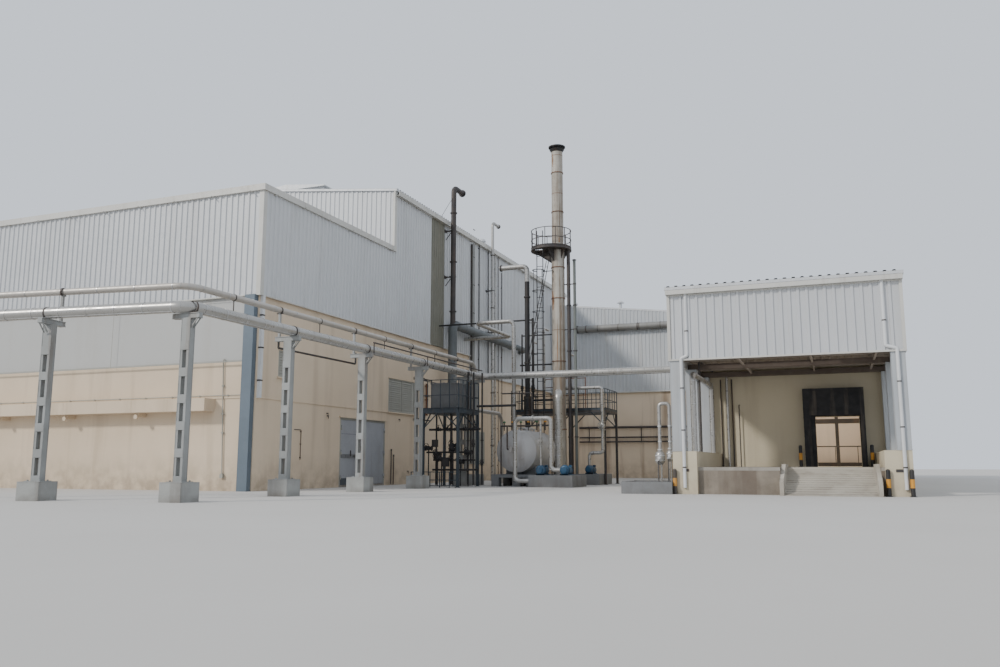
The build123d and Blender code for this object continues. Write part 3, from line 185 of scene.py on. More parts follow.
@dataclass(frozen=True)
class Finish:
    """One weathered surface: patches, streaks that run down, grime near the ground and fine relief."""

    name: str
    colour: Colour
    shade: Colour
    rough: float = 0.6
    metal: float = 0.0
    patch: float = 0.8
    patch_strength: float = 0.6
    streak: Colour = (0.25, 0.2, 0.15)
    streak_scale: float = 6.0
    streak_strength: float = 0.25
    streak_start: float = 0.56
    grime: Colour = (0.3, 0.24, 0.18)
    grime_height: float = 0.0
    grime_strength: float = 0.5
    grain: float = 60.0
    grain_depth: float = 0.002
    spread: float = 0.12

    def material(self) -> bpy.types.Material:
        """Makes the material once and hands it out after that.

        Returns:
            The material.
        """
        found = bpy.data.materials.get(self.name)
        if found:
            return found
        kit = NodeKit(self.name)
        patches = kit.span(kit.noise(self.patch, 6.0), 0.4, 0.62, 0.0, self.patch_strength)
        colour = kit.blend(patches, self.colour, self.shade)
        runs = kit.noise(self.streak_scale, 6.0, (1.0, 1.0, 0.07))
        streaks = kit.span(runs, self.streak_start, self.streak_start + 0.14, 0.0, self.streak_strength)
        colour = kit.blend(streaks, colour, self.streak)
        if self.grime_height > 0.0:
            low = kit.span(kit.height(), 0.0, self.grime_height, 1.0, 0.0)
            spots = kit.span(kit.noise(3.5, 6.0), 0.36, 0.62, 0.15, 1.0)
            colour = kit.blend(kit.times(kit.times(low, spots), self.grime_strength), colour, self.grime)
        kit.tree.links.new(colour, kit.shader.inputs["Base Color"])
        uneven = kit.span(kit.noise(9.0), 0.3, 0.7, max(0.05, self.rough - self.spread),
                          min(1.0, self.rough + self.spread))
        kit.tree.links.new(uneven, kit.shader.inputs["Roughness"])
        kit.shader.inputs["Metallic"].default_value = self.metal
        kit.relief(kit.noise(self.grain, 3.0), self.grain_depth)
        return kit.material


CLADDING = Finish("ribbed_cladding", (0.56, 0.57, 0.58), (0.49, 0.5, 0.51), 0.42, 0.15, 0.35, 0.5,
                  (0.4, 0.385, 0.36), 3.0, 0.25, 0.55)
WING_SHEET = Finish("wing_cladding", (0.5, 0.52, 0.54), (0.43, 0.45, 0.46), 0.45, 0.15, 0.4, 0.5,
                    (0.36, 0.33, 0.29), 3.0, 0.3, 0.52)
ROOFING = Finish("pale_roofing", (0.6, 0.61, 0.62), (0.5, 0.51, 0.52), 0.45, 0.3)
PLASTER = Finish("beige_plaster", (0.67, 0.55, 0.41), (0.59, 0.475, 0.345), 0.9, 0.0, 0.5, 0.6,
                 (0.36, 0.27, 0.19), 2.2, 0.3, 0.54, (0.3, 0.235, 0.17), 0.8, 0.75, 45.0, 0.003)
DOCK_PLASTER = Finish("dock_plaster", (0.56, 0.5, 0.37), (0.48, 0.42, 0.3), 0.9, 0.0, 0.6, 0.6,
                      (0.32, 0.26, 0.18), 2.5, 0.3, 0.53, (0.3, 0.24, 0.18), 0.7, 0.5, 45.0, 0.003)
PANEL = Finish("flat_panel", (0.44, 0.44, 0.425), (0.39, 0.39, 0.375), 0.6, 0.0, 0.3, 0.5,
               (0.36, 0.33, 0.28), 2.0, 0.2, 0.55)
TRIM = Finish("cream_trim", (0.58, 0.57, 0.535), (0.48, 0.47, 0.43), 0.5, 0.1)
WHITE_PIPE = Finish("white_pipe", (0.66, 0.67, 0.68), (0.54, 0.55, 0.55), 0.4)
COLUMN = Finish("blue_grey_steel", (0.125, 0.16, 0.195), (0.1, 0.13, 0.16), 0.5, 0.2)
RACK_STEEL = Finish("rack_steel", (0.31, 0.32, 0.315), (0.24, 0.245, 0.235), 0.55, 0.2, 2.0, 0.6,
                    (0.17, 0.125, 0.09), 7.0, 0.45, 0.52)
LOUVRE = Finish("grey_louvre", (0.33, 0.325, 0.285), (0.27, 0.265, 0.23), 0.6)
DOOR = Finish("grey_door", (0.35, 0.36, 0.385), (0.29, 0.3, 0.32), 0.55, 0.1, 1.2, 0.6,
              (0.2, 0.17, 0.14), 5.0, 0.35, 0.55, (0.16, 0.14, 0.12), 0.4, 0.5)
KICK_PLATE = Finish("door_kick_plate", (0.105, 0.12, 0.14), (0.07, 0.08, 0.09), 0.6, 0.2, 3.0, 0.8,
                    (0.1, 0.08, 0.065), 6.0, 0.4, 0.52)
LATCH_BAR = Finish("door_latch_bar", (0.22, 0.225, 0.235), (0.16, 0.16, 0.165), 0.5, 0.3, 3.0, 0.8,
                   (0.12, 0.08, 0.06), 6.0, 0.4, 0.52)
STRIP = Finish("olive_strip", (0.2, 0.195, 0.155), (0.15, 0.145, 0.115), 0.6)
CONCRETE = Finish("old_concrete", (0.34, 0.315, 0.275), (0.24, 0.22, 0.19), 0.92, 0.0, 1.6, 0.8,
                  (0.13, 0.11, 0.09), 3.0, 0.4, 0.5, (0.12, 0.1, 0.085), 0.4, 0.6, 30.0, 0.006)
GREY_CONCRETE = Finish("plinth_concrete", (0.2, 0.205, 0.21), (0.15, 0.155, 0.155), 0.9, 0.0, 1.6, 0.7,
                       (0.1, 0.09, 0.08), 3.0, 0.3, 0.5, (0.1, 0.09, 0.08), 0.3, 0.5, 30.0, 0.005)
CURTAIN = Finish("black_curtain", (0.008, 0.008, 0.01), (0.014, 0.014, 0.016), 0.7)
DARK_STEEL = Finish("worn_dark_steel", (0.055, 0.05, 0.05), (0.085, 0.07, 0.06), 0.6, 0.3, 2.5, 0.7,
                    (0.13, 0.07, 0.04), 7.0, 0.4, 0.54)
STACK_PAINT = Finish("rusty_stack_paint", (0.43, 0.405, 0.355), (0.29, 0.255, 0.205), 0.6, 0.15, 1.3, 0.85,
                     (0.15, 0.095, 0.06), 5.0, 0.65, 0.47)
SILVER = Finish("silver_jacket", (0.41, 0.4, 0.38), (0.32, 0.31, 0.285), 0.32, 0.6, 0.6, 0.5,
                (0.3, 0.26, 0.21), 1.6, 0.25, 0.56, grain=2.0, grain_depth=0.00002)
BEIGE_JACKET = Finish("beige_jacket", (0.47, 0.44, 0.4), (0.38, 0.35, 0.31), 0.45, 0.4, 0.8, 0.6,
                      (0.26, 0.2, 0.15), 2.5, 0.3, 0.56, grain=2.0, grain_depth=0.00002)
POST_SHEET = Finish("post_sheet", (0.43, 0.455, 0.475), (0.37, 0.39, 0.41), 0.5, 0.15, 1.0, 0.6,
                    (0.3, 0.27, 0.23), 4.0, 0.3, 0.54, (0.28, 0.23, 0.18), 1.2, 0.4)
PEDESTAL = Finish("pedestal_concrete", (0.33, 0.335, 0.32), (0.25, 0.25, 0.24), 0.9, 0.0, 3.0, 0.7,
                  (0.14, 0.12, 0.1), 3.0, 0.35, 0.5, (0.14, 0.12, 0.1), 0.12, 0.6, 30.0, 0.005)
DOCK_CONCRETE = Finish("stained_concrete", (0.33, 0.29, 0.235), (0.2, 0.17, 0.135), 0.92, 0.0, 1.1, 0.85,
                       (0.11, 0.08, 0.06), 2.6, 0.65, 0.47, (0.12, 0.1, 0.08), 0.6, 0.6, 30.0, 0.006)
RAMP_CONCRETE = Finish("ramp_concrete", (0.45, 0.42, 0.36), (0.35, 0.32, 0.27), 0.92, 0.0, 1.6, 0.7,
                       (0.2, 0.17, 0.13), 3.0, 0.35, 0.53, (0.2, 0.17, 0.14), 0.15, 0.5, 30.0, 0.006)
ROOM_PLASTER = Finish("room_plaster", (0.62, 0.52, 0.43), (0.55, 0.45, 0.37), 0.9, 0.0, 0.5, 0.6,
                      (0.32, 0.25, 0.19), 2.0, 0.3, 0.54, (0.3, 0.25, 0.2), 0.4, 0.6, 45.0, 0.003)
WING_PLASTER = Finish("streaked_plaster", (0.7, 0.585, 0.45), (0.62, 0.51, 0.385), 0.9, 0.0, 0.5, 0.6,
                      (0.2, 0.115, 0.065), 2.2, 0.55, 0.51, (0.26, 0.2, 0.14), 0.9, 0.6, 45.0, 0.003)
JACKET_BAND = Finish("jacket_band", (0.5, 0.5, 0.5), (0.38, 0.36, 0.33), 0.35, 0.8, 3.0, 0.7,
                     grain=2.0, grain_depth=0.00002)
DUCT_SHEET = Finish("wing_duct_sheet", (0.24, 0.24, 0.23), (0.19, 0.185, 0.175), 0.55, 0.2, 1.5, 0.7,
                    (0.12, 0.09, 0.07), 4.0, 0.4, 0.53)
RISER_GREEN = Finish("grey_green_riser", (0.15, 0.165, 0.155), (0.11, 0.12, 0.11), 0.6, 0.1, 2.0, 0.7)
RUST_STAIN = Finish("rust_stain", (0.3, 0.155, 0.075), (0.2, 0.11, 0.06), 0.8, 0.0, 3.0, 0.9,
                    (0.36, 0.22, 0.12), 6.0, 0.6, 0.5)
SOOT_STAIN = Finish("brown_stain", (0.2, 0.15, 0.105), (0.27, 0.21, 0.155), 0.8, 0.0, 2.0, 0.9,
                    (0.12, 0.085, 0.06), 6.0, 0.6, 0.5)
DUCT_GREY = Finish("insulated_duct", (0.145, 0.16, 0.165), (0.11, 0.12, 0.125), 0.6, 0.2, 2.0, 0.6)
TANK_PAINT = Finish("tank_paint", (0.5, 0.49, 0.485), (0.41, 0.395, 0.38), 0.45, 0.2, 1.2, 0.6,
                    (0.23, 0.17, 0.12), 4.0, 0.35, 0.55)
BLUE_STEEL = Finish("platform_steel", (0.05, 0.065, 0.08), (0.035, 0.045, 0.055), 0.55, 0.2, 2.5, 0.6,
                    (0.12, 0.075, 0.05), 7.0, 0.3, 0.56)
BLACK_STEEL = Finish("black_steel", (0.022, 0.022, 0.024), (0.035, 0.032, 0.03), 0.5, 0.3, 3.0, 0.7,
                     (0.1, 0.055, 0.035), 7.0, 0.3, 0.56)
HOUSING_GREY = Finish("housing_grey", (0.17, 0.175, 0.18), (0.12, 0.125, 0.13), 0.55, 0.2, 1.5, 0.6,
                      (0.12, 0.09, 0.07), 5.0, 0.25, 0.55)
CEILING = Finish("dock_ceiling", (0.36, 0.31, 0.265), (0.27, 0.22, 0.18), 0.7, 0.1, 1.5, 0.7)
BEAM_STEEL = Finish("dock_beam_steel", (0.14, 0.11, 0.09), (0.1, 0.075, 0.06), 0.65, 0.1, 1.5, 0.7)
GREEN = Finish("valve_green", (0.05, 0.16, 0.07), (0.04, 0.11, 0.06), 0.5)
PUMP_BLUE = Finish("pump_blue", (0.015, 0.075, 0.15), (0.012, 0.05, 0.1), 0.45, 0.1, 4.0, 0.6)
RUST = Finish("rust_brown", (0.17, 0.075, 0.04), (0.1, 0.05, 0.03), 0.85)
AMBER = Finish("amber_band", (0.65, 0.3, 0.03), (0.5, 0.23, 0.03), 0.5)
BLACK_BAND = Finish("black_band", (0.015, 0.015, 0.017), (0.03, 0.028, 0.026), 0.5)


@dataclass
class Workpiece:
    """A mesh that grows solid by solid and is then laid down as one piece."""

    verts: list[Vector] = field(default_factory=list)
    faces: list[tuple[int, ...]] = field(default_factory=list)

    def box(self, low: Point, high: Point) -> None:
        """Adds an upright box between its lowest and its highest corner."""
        base = [(low[0], low[1]), (high[0], low[1]), (high[0], high[1]), (low[0], high[1])]
        self.prism([Vector((x, y, low[2])) for x, y in base], Vector((0, 0, high[2] - low[2])))

    def boxes(self, corners: Iterable[tuple[Point, Point]]) -> None:
        """Adds a box for each pair of corners."""
        for low, high in corners:
            self.box(low, high)

    def prism(self, outline: Sequence[Vector], shift: Vector) -> None:
        """Adds a prism: a closed outline pushed along a shift.

        Args:
            outline: The corners of the first end.
            shift: The way to the second end.
        """
        start = len(self.verts)
        count = len(outline)
        self.verts += [Vector(p) for p in outline] + [Vector(p) + shift for p in outline]
        self.faces.append(tuple(range(start + count - 1, start - 1, -1)))
        self.faces.append(tuple(range(start + count, start + 2 * count)))
        for i in range(count):
            j = (i + 1) % count
            self.faces.append((start + i, start + j, start + count + j, start + count + i))

    def strip(self, pairs: Iterable[tuple[Vector, Vector]], flip: bool = False) -> None:
        """Adds a sheet through pairs of points.

        Args:
            pairs: The two points at each fold of the sheet.
            flip: Whether the sheet's face looks the other way.
        """
        first = len(self.verts)
        for pair in pairs:
            self.verts += pair
        for a in range(first, len(self.verts) - 2, 2):
            self.faces.append((a + 1, a + 3, a + 2, a) if flip else (a, a + 2, a + 3, a + 1))

    def pleats(self, pairs: Iterable[tuple[Vector, Vector]]) -> None:
        """Adds a folded sheet through pairs of points, seen from its other side."""
        first = len(self.verts)
        for pair in pairs:
            self.verts += pair
        self.faces += [(a, a + 1, a + 3, a + 2) for a in range(first, len(self.verts) - 2, 2)]

    def loft(self, rings: Sequence[Sequence[Vector]], capped: bool = True) -> None:
        """Adds a skin through rings of as many points each.

        Args:
            rings: The rings in order.
            capped: Whether the two ends are closed.
        """
        start = len(self.verts)
        count = len(rings[0])
        for ring in rings:
            self.verts += ring
        last = start + (len(rings) - 1) * count
        for a in range(start, last, count):
            for i in range(count):
                j = (i + 1) % count
                self.faces.append((a + i, a + j, a + count + j, a + count + i))
        if capped:
            self.faces.append(tuple(range(start + count - 1, start - 1, -1)))
            self.faces.append(tuple(range(last, last + count)))

    def turn(self, centre: Point, axis: Vector, profile: Profile, sides: int = 24,
             capped: bool = True) -> None:
        """Adds a turned solid.

        Args:
            centre: The point that the profile's heights start from.
            axis: The direction of the turning axis.
            profile: Pairs of radius and height along the axis.
            sides: Points round each ring.
            capped: Whether the two ends are closed.
        """
        along, side, across = axes(axis)
        self.loft([circle(Vector(centre) + along * height, side, across, radius, sides)
                   for radius, height in profile], capped)

    def tube(self, route: Sequence[Point], radius: float, bend: float = 0.0, sides: int = 20) -> None:
        """Adds a round pipe along straight runs with rounded corners.

        Args:
            route: The corners of the route.
            radius: The pipe's radius.
            bend: The radius of the bends' centre line.
            sides: Points round the pipe.
        """
        path = rounded([Vector(p) for p in route], bend)
        side = axes(path[1] - path[0])[1]
        rings = []
        for before, point, after in zip([path[0], *path], path, [*path[1:], path[-1]]):
            along = ((after - point).normalized() + (point - before).normalized()).normalized()
            side = (side - along * side.dot(along)).normalized()
            rings.append(circle(point, side, along.cross(side), radius, sides))
        self.loft(rings)

    def bar(self, start: Point, end: Point, width: float, sides: int = 4) -> None:
        """Adds a straight bar of a few sides."""
        way = Vector(end) - Vector(start)
        radius = width / 2 * (math.sqrt(2) if sides == 4 else 1.0)
        self.turn(start, way, [(radius, 0.0), (radius, way.length)], sides)

    def ring(self, centre: Point, axis: Vector, radius: float, width: float, rise: float,
             sides: int = 24, bite: float = 0.001) -> None:
        """Adds a band round a pipe.

        Args:
            centre: The band's middle.
            axis: The pipe's direction.
            radius: The pipe's radius.
            width: The band's length along the pipe.
            rise: How far the band stands out.
            sides: Points round the band.
            bite: How far the band reaches into the pipe.
        """
        half = width / 2
        outer = radius + rise
        inner = radius - bite
        profile = [(inner, -half), (outer, -half), (outer, half), (inner, half), (inner, -half)]
        self.turn(centre, axis, profile, sides, capped=False)

    def hoop(self, centre: Point, axis: Vector, radius: float, thick: float, segments: int = 20,
             sides: int = 6) -> None:
        """Adds a round hoop, such as a handwheel's rim.

        Args:
            centre: The hoop's middle.
            axis: The direction that the hoop turns about.
            radius: The radius of its centre line.
            thick: The radius of its section.
            segments: Runs round the hoop.
            sides: Points round the section.
        """
        along, side, across = axes(axis)
        start = len(self.verts)
        for angle in angles(segments):
            out = spoke(side, across, angle)
            self.verts += [Vector(centre) + out * (radius + thick * math.cos(turn))
                           + along * (thick * math.sin(turn)) for turn in angles(sides)]
        for k in range(segments):
            a = start + k * sides
            b = start + (k + 1) % segments * sides
            for i in range(sides):
                j = (i + 1) % sides
                self.faces.append((a + i, b + i, b + j, a + j))

    def bolts(self, centre: Point, axis: Vector, radius: float, size: float, rise: float,
              count: int = 8) -> None:
        """Adds a round of hexagon bolt heads.

        Args:
            centre: The middle of the round, on the face that carries the bolts.
            axis: The direction that the heads stand out in.
            radius: The radius of the round.
            size: Each head's width.
            rise: How far each head stands out.
            count: The number of bolts.
        """
        along, side, across = axes(axis)
        head = [(size / 2, -0.001), (size / 2, rise * 0.8), (size * 0.4, rise)]
        for k in range(count):
            out = spoke(side, across, 2 * math.pi * (k + 0.5) / count)
            self.turn(Vector(centre) + out * radius, along, head, 6)

    def flange(self, centre: Point, axis: Vector, radius: float, rise: float = 0.028,
               thick: float = 0.014, gap: float = 0.002) -> None:
        """Adds a bolted pair of flanges round a pipe.

        Args:
            centre: The joint's middle.
            axis: The pipe's direction.
            radius: The pipe's radius.
            rise: How far the flanges stand out.
            thick: The thickness of each flange.
            gap: Half of the gap between them, and how far they reach into the pipe.
        """
        along = Vector(axis).normalized()
        outer = radius + rise
        inner = radius - gap
        bolts = max(4, min(12, int(radius * 80)))
        for sign in (-1, 1):
            near, far = sign * gap, sign * (gap + thick)
            profile = [(inner, near), (outer, near), (outer, far), (inner, far), (inner, near)]
            self.turn(centre, along, profile, 28, capped=False)
            self.bolts(Vector(centre) + along * far, along * sign, radius + rise * 0.55, rise * 0.42,
                       thick * 0.6, bolts)

    def handwheel(self, centre: Point, axis: Vector, radius: float) -> None:
        """Adds a handwheel with a hub and four spokes."""
        along, side, across = axes(axis)
        self.hoop(centre, along, radius, radius * 0.09)
        self.turn(centre, along, [(radius * 0.2, -radius * 0.15), (radius * 0.2, radius * 0.15)], 10)
        for out in (side, across, -side, -across):
            self.bar(Vector(centre) + out * radius * 0.15, Vector(centre) + out * radius * 0.97,
                     radius * 0.12) 
    def valve(self, centre: Point, axis: Vector, radius: float, stem: Vector,
              reach: float = 0.16) -> None:
        """Adds a flanged valve body with a bonnet, a stem and a handwheel.

        Args:
            centre: The valve's middle on the pipe's centre line.
            axis: The pipe's direction.
            radius: The pipe's radius.
            stem: The direction that the stem points in.
            reach: The length from the centre line to the wheel.
        """
        along = Vector(axis).normalized()
        up = Vector(stem).normalized()
        half = radius * 2.4
        self.turn(centre, along, [(radius * wide, half * level) for wide, level in VALVE_BODY], 20)
        for sign in (-1, 1):
            place = Vector(centre) + along * (sign * half)
            self.turn(place, along, [(radius * 1.9, -radius * 0.2), (radius * 1.9, radius * 0.2)], 20)
            self.bolts(place + along * (sign * radius * 0.2), along * sign, radius * 1.55, radius * 0.4,
                       radius * 0.2, 6)
        bonnet = [(radius * wide, radius * level) for wide, level in VALVE_BONNET]
        spindle = [(radius * 0.4, reach * 0.75), (radius * 0.22, reach * 0.75),
                   (radius * 0.22, reach + radius * 0.3)]
        self.turn(centre, up, bonnet + spindle, 14)
        self.handwheel(Vector(centre) + up * reach, up, max(radius * 1.9, 0.035))

    def lay(self, name: str, finish: Finish, slot: str, body: str = BODY,
            crisp: float = 35.0) -> None:
        """Makes the piece, dresses it and lets it ride on a body.

        Args:
            name: The piece's name.
            finish: Its finish.
            slot: The record's material slot; not used.
            body: The body that it moves with.
            crisp: The angle in degrees past which an edge stays sharp.
        """
        mesh = bpy.data.meshes.new(name)
        mesh.from_pydata([tuple(v) for v in self.verts], [], self.faces)
        mesh.validate()
        mesh.polygons.foreach_set("use_smooth", [True] * len(mesh.polygons))
        mesh.set_sharp_from_angle(angle=math.radians(crisp))
        mesh.materials.append(finish.material())
        piece = bpy.data.objects.new(name, mesh)
        bpy.context.scene.collection.objects.link(piece)
        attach(piece, body)
        LOG.info("%s: %d faces", name, len(mesh.polygons))


class Bend:
    """One rounded corner of a route."""

    def __init__(self, before: Vector, corner: Vector, after: Vector, radius: float) -> None:
        """Fits an arc between two straight runs.

        Args:
            before: The corner before this one.
            corner: The corner that is rounded.
            after: The corner after it.
            radius: The arc's radius.
        """
        back = (before - corner).normalized()
        ahead = (after - corner).normalized()
        half = back.angle(ahead) / 2
        self.reach = radius / math.tan(half)
        self.centre = corner + (back + ahead).normalized() * (radius / math.sin(half))
        self.start = corner + back * self.reach - self.centre
        self.end = corner + ahead * self.reach - self.centre
        self.sweep = self.start.angle(self.end)

    def out(self, share: float) -> Vector:
        """Gives the way from the arc's centre to the point at a share of its sweep."""
        return (self.start * math.sin((1 - share) * self.sweep)
                + self.end * math.sin(share * self.sweep)) / math.sin(self.sweep)


def bends(route: Sequence[Vector], radius: float) -> list[Bend]:
    """Lists the rounded corners of a route."""
    return [Bend(*corners, radius) for corners in zip(route, route[1:], route[2:])]


def rounded(route: Sequence[Vector], radius: float, steps: int = 8) -> list[Vector]:
    """Rounds the corners of a route.

    Args:
        route: The route's corners.
        radius: The radius of the bends.
        steps: Runs in each bend.

    Returns:
        The points of the rounded route.
    """
    if radius <= 0.0 or len(route) < 3:
        return list(route)
    points = [route[0]]
    for bend in bends(route, radius):
        points += [bend.centre + bend.out(k / steps) for k in range(steps + 1)]
    return [*points, route[-1]]


def dress(frame: dict, finish: Finish, *nodes: str) -> None:
    """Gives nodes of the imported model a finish.

    Args:
        finish: The finish.
        nodes: The nodes' names.
    """
    for name in nodes:
        piece = frame["nodes"][name]
        if not piece.material_slots:
            piece.data.materials.append(finish.material())
        for slot in piece.material_slots:
            slot.material = finish.material()
    LOG.info("dressed %s", finish.name)


@dataclass(frozen=True)
class Run:
    """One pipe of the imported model: its corners, radius, bends and the pitch of its bands."""

    route: tuple[Point, ...]
    radius: float
    bend: float = 0.0
    pitch: float = 0.45

    def corners(self) -> list[Vector]:
        """Lists the route's corners."""
        return [Vector(p) for p in self.route]

    def at(self, z: float) -> Point:
        """Gives the point at a height on the run's first, upright stretch."""
        return (*self.route[0][:2], z)

    def straights(self) -> list[tuple[Vector, Vector]]:
        """Lists the ends of the straight stretches between the bends.

        Returns:
            Pairs of points.
        """
        points = self.corners()
        cut = [0.0, *(bend.reach for bend in bends(points, self.bend)), 0.0]
        found = []
        for k, (start, end) in enumerate(zip(points, points[1:])):
            along = (end - start).normalized()
            found.append((start + along * cut[k], end - along * cut[k + 1]))
        return found

    def bands(self, piece: Workpiece, width: float = 0.018, rise: float = 0.004) -> None:
        """Adds a band at each end of each bend and bands between them.

        Args:
            piece: The workpiece to add to.
            width: The width of a band.
            rise: How far a band stands out.
        """
        for start, end in self.straights():
            length = (end - start).length
            if length < 4 * width:
                continue
            along = (end - start).normalized()
            count = max(1, round((length - 2 * width) / self.pitch))
            for k in range(count + 1):
                place = start + along * (width + (length - 2 * width) * k / count)
                piece.ring(place, along, self.radius, width, rise)

    def elbows(self, piece: Workpiece, rise: float = 0.003, segments: int = 4, width: float = 0.006) -> None:
        """Adds the mitred seams round each bend.

        Args:
            piece: The workpiece to add to.
            rise: How far a seam stands out.
            segments: Gores in a bend.
            width: The width of a seam.
        """
        for bend in bends(self.corners(), self.bend):
            for k in range(1, segments):
                out = bend.out(k / segments)
                along = bend.start.cross(bend.end).cross(out)
                piece.ring(bend.centre + out, along, self.radius, width, rise)


def flat(height: float) -> Callable[[float], float]:
    """Gives the upper edge of a sheet that is level all along."""
    return lambda place: height


@dataclass
class RibbedSheets:
    """The ribbed wall and roof sheets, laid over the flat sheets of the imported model."""

    frame: dict
    pitch: float = 0.155
    rise: float = 0.022
    crown: float = 0.044
    flank: float = 0.016
    lift: float = 0.002
    sheet: float = 0.04
    tuck: float = 0.005
    width: float = 10.0
    length: float = 22.0
    block: float = 5.87
    low_eave: float = 6.6
    high_eave: float = 8.25
    slope: float = 0.115
    low_edge: float = 4.15
    rear_edge: float = 3.58
    step: float = 11.25
    light: tuple[float, float] = (8.2, 9.15)
    gable_edge: float = 6.44
    gable_inset: float = 0.06
    wing_start: float = 20.0
    wing_rear: float = 25.994
    wing_end: float = 26.0
    wing_reach: float = 12.69
    wing_edge: float = 3.5
    wing_eave: float = 7.35
    wing_slope: float = 0.1127
    dock_x: tuple[float, float] = (8.42, 12.56)
    dock_y: tuple[float, float] = (1.685, 5.5)
    dock_edge: float = 2.545
    dock_eave: float = 3.92
    dock_slope: float = 0.05
    roof_thick: float = 0.06
    roof_start: float = 5.81
    roof_end: float = 22.1
    roof_reach: float = 5.1
    wing_roof: tuple[float, float, float, float] = (0.04, 19.94, 12.7, 6.12)
    wing_roof_drop: float = 0.0045
    dock_roof: tuple[float, float, float, float] = (8.36, 19.96, 18.355, 4.26)
    dock_roof_level: float = 3.916

    def profile(self, start: float, end: float) -> list[tuple[float, float]]:
        """Lists the places and heights of the ribs' corners along a sheet.

        Args:
            start: Where the sheet starts.
            end: Where it ends.

        Returns:
            Pairs of place and height.
        """
        points = [(start, 0.0)]
        half = self.crown / 2
        place = start + self.pitch / 2
        while place + half + self.flank < end:
            points += [(place - half - self.flank, 0.0), (place - half, self.rise),
                       (place + half, self.rise), (place + half + self.flank, 0.0)]
            place += self.pitch
        return [*points, (end, 0.0)]

    def wall(self, piece: Workpiece, origin: Point, along: Vector, out: Vector, span: tuple[float, float],
             bottom: float, top: Callable[[float], float]) -> None:
        """Adds one ribbed sheet with upright ribs.

        Args:
            piece: The workpiece to add to.
            origin: A point on the sheet's plane, at height zero.
            along: The direction that the places run in.
            out: The outward direction.
            span: Where the sheet starts and ends.
            bottom: Height of the lower edge.
            top: Height of the upper edge at a place.
        """
        pairs = []
        for place, height in self.profile(*span):
            foot = Vector(origin) + along * place + out * (height + self.lift)
            pairs.append((foot + UP * bottom, foot + UP * top(place)))
        piece.strip(pairs, along.cross(UP).dot(out) < 0)

    def under(self, place: float) -> float:
        """Gives the height of the upper roof's underside at a distance from the long side."""
        half = self.width / 2
        inward = place if place <= half else self.width - place
        return self.high_eave + self.slope * inward

    def gable(self, place: float) -> float:
        """Gives the top of the gable's sheets at a distance from the long side."""
        return self.under(place) - self.tuck

    def hall(self) -> None:
        """Lays the hall's wall sheets."""
        low, high = flat(self.low_eave), flat(self.high_eave - self.tuck)
        side = (self.sheet, 0, 0)
        east = Workpiece()
        for start, end, edge, top in ((0.0, self.block, self.low_edge, low),
                                      (self.block, self.light[0], self.low_edge, high),
                                      (self.light[1], self.step, self.low_edge, high),
                                      (self.step, self.length, self.rear_edge, high)):
            self.wall(east, side, NORTH, EAST, (start, end), edge, top)
        east.lay("east_ribs", CLADDING, "cladding")
        light = Workpiece()
        self.wall(light, side, NORTH, EAST, self.light, self.low_edge, high)
        light.lay("light_strip_ribs", STRIP, "translucent")
        front = Workpiece()
        self.wall(front, (-self.width, -self.sheet, 0), EAST, -NORTH, (-self.sheet, self.width + self.sheet),
                  self.low_edge, low)
        self.wall(front, (0, self.block, 0), -EAST, -NORTH, (self.gable_inset, self.width - self.gable_inset),
                  self.gable_edge, self.gable)
        front.lay("front_ribs", CLADDING, "cladding")
        hidden = Workpiece()
        far = (-self.width - self.sheet, 0, 0)
        self.wall(hidden, far, NORTH, -EAST, (0.0, self.block), self.rear_edge, low)
        self.wall(hidden, far, NORTH, -EAST, (self.block, self.length), self.rear_edge, high)
        self.wall(hidden, (0, self.length + self.sheet, 0), -EAST, NORTH, (0.0, self.width), self.rear_edge,
                  self.gable)
        hidden.lay("rear_ribs", CLADDING, "cladding")

    def wing_top(self, place: float) -> float:
        """Gives the top of the wing's sheets at a distance from the hall."""
        return self.wing_eave - self.wing_slope * place - self.tuck

    def wing(self) -> None:
        """Lays the rear wing's wall sheets."""
        front = Workpiece()
        start = self.wing_start - self.sheet
        self.wall(front, (0, start, 0), EAST, -NORTH, (self.sheet, self.wing_reach), self.wing_edge,
                  self.wing_top)
        front.lay("wing_front_ribs", WING_SHEET, "cladding")
        rear = Workpiece()
        self.wall(rear, (0, self.wing_rear + self.sheet, 0), EAST, NORTH, (0.0, self.wing_reach),
                  self.wing_edge, self.wing_top)
        self.wall(rear, (self.wing_reach, 0, 0), NORTH, EAST, (start, self.wing_end + self.sheet),
                  self.wing_edge, flat(self.wing_top(self.wing_reach)))
        rear.lay("wing_rear_ribs", WING_SHEET, "cladding")

    def dock(self) -> None:
        """Lays the dock's fascia and side sheets."""
        piece = Workpiece()
        left, right = self.dock_x
        front, back = self.dock_y
        self.wall(piece, (left, front, 0), EAST, -NORTH, (0.0, right - left), self.dock_edge,
                  flat(self.dock_eave))
        for x, out in ((left, -EAST), (right, EAST)):
            self.wall(piece, (x, front, 0), NORTH, out, (0.0, back - front), self.dock_edge,
                      lambda place: self.dock_eave + self.dock_slope * place)
        piece.lay("dock_ribs", CLADDING, "cladding")

    def roof_sheet(self, piece: Workpiece, corner: Point, along: Vector, down: Vector, length: float) -> None:
        """Adds one ribbed roof sheet.

        Args:
            piece: The workpiece to add to.
            corner: Its upper corner on the roof's top face.
            along: The unit direction across the ribs.
            down: The way from the upper to the lower edge.
            length: The sheet's length along the eave.
        """
        normal = along.cross(down).normalized()
        flip = normal.z < 0
        up = -normal if flip else normal
        feet = [Vector(corner) + along * place + up * (height + self.lift)
                for place, height in self.profile(0.0, length)]
        piece.strip([(foot, foot + down) for foot in feet], flip)

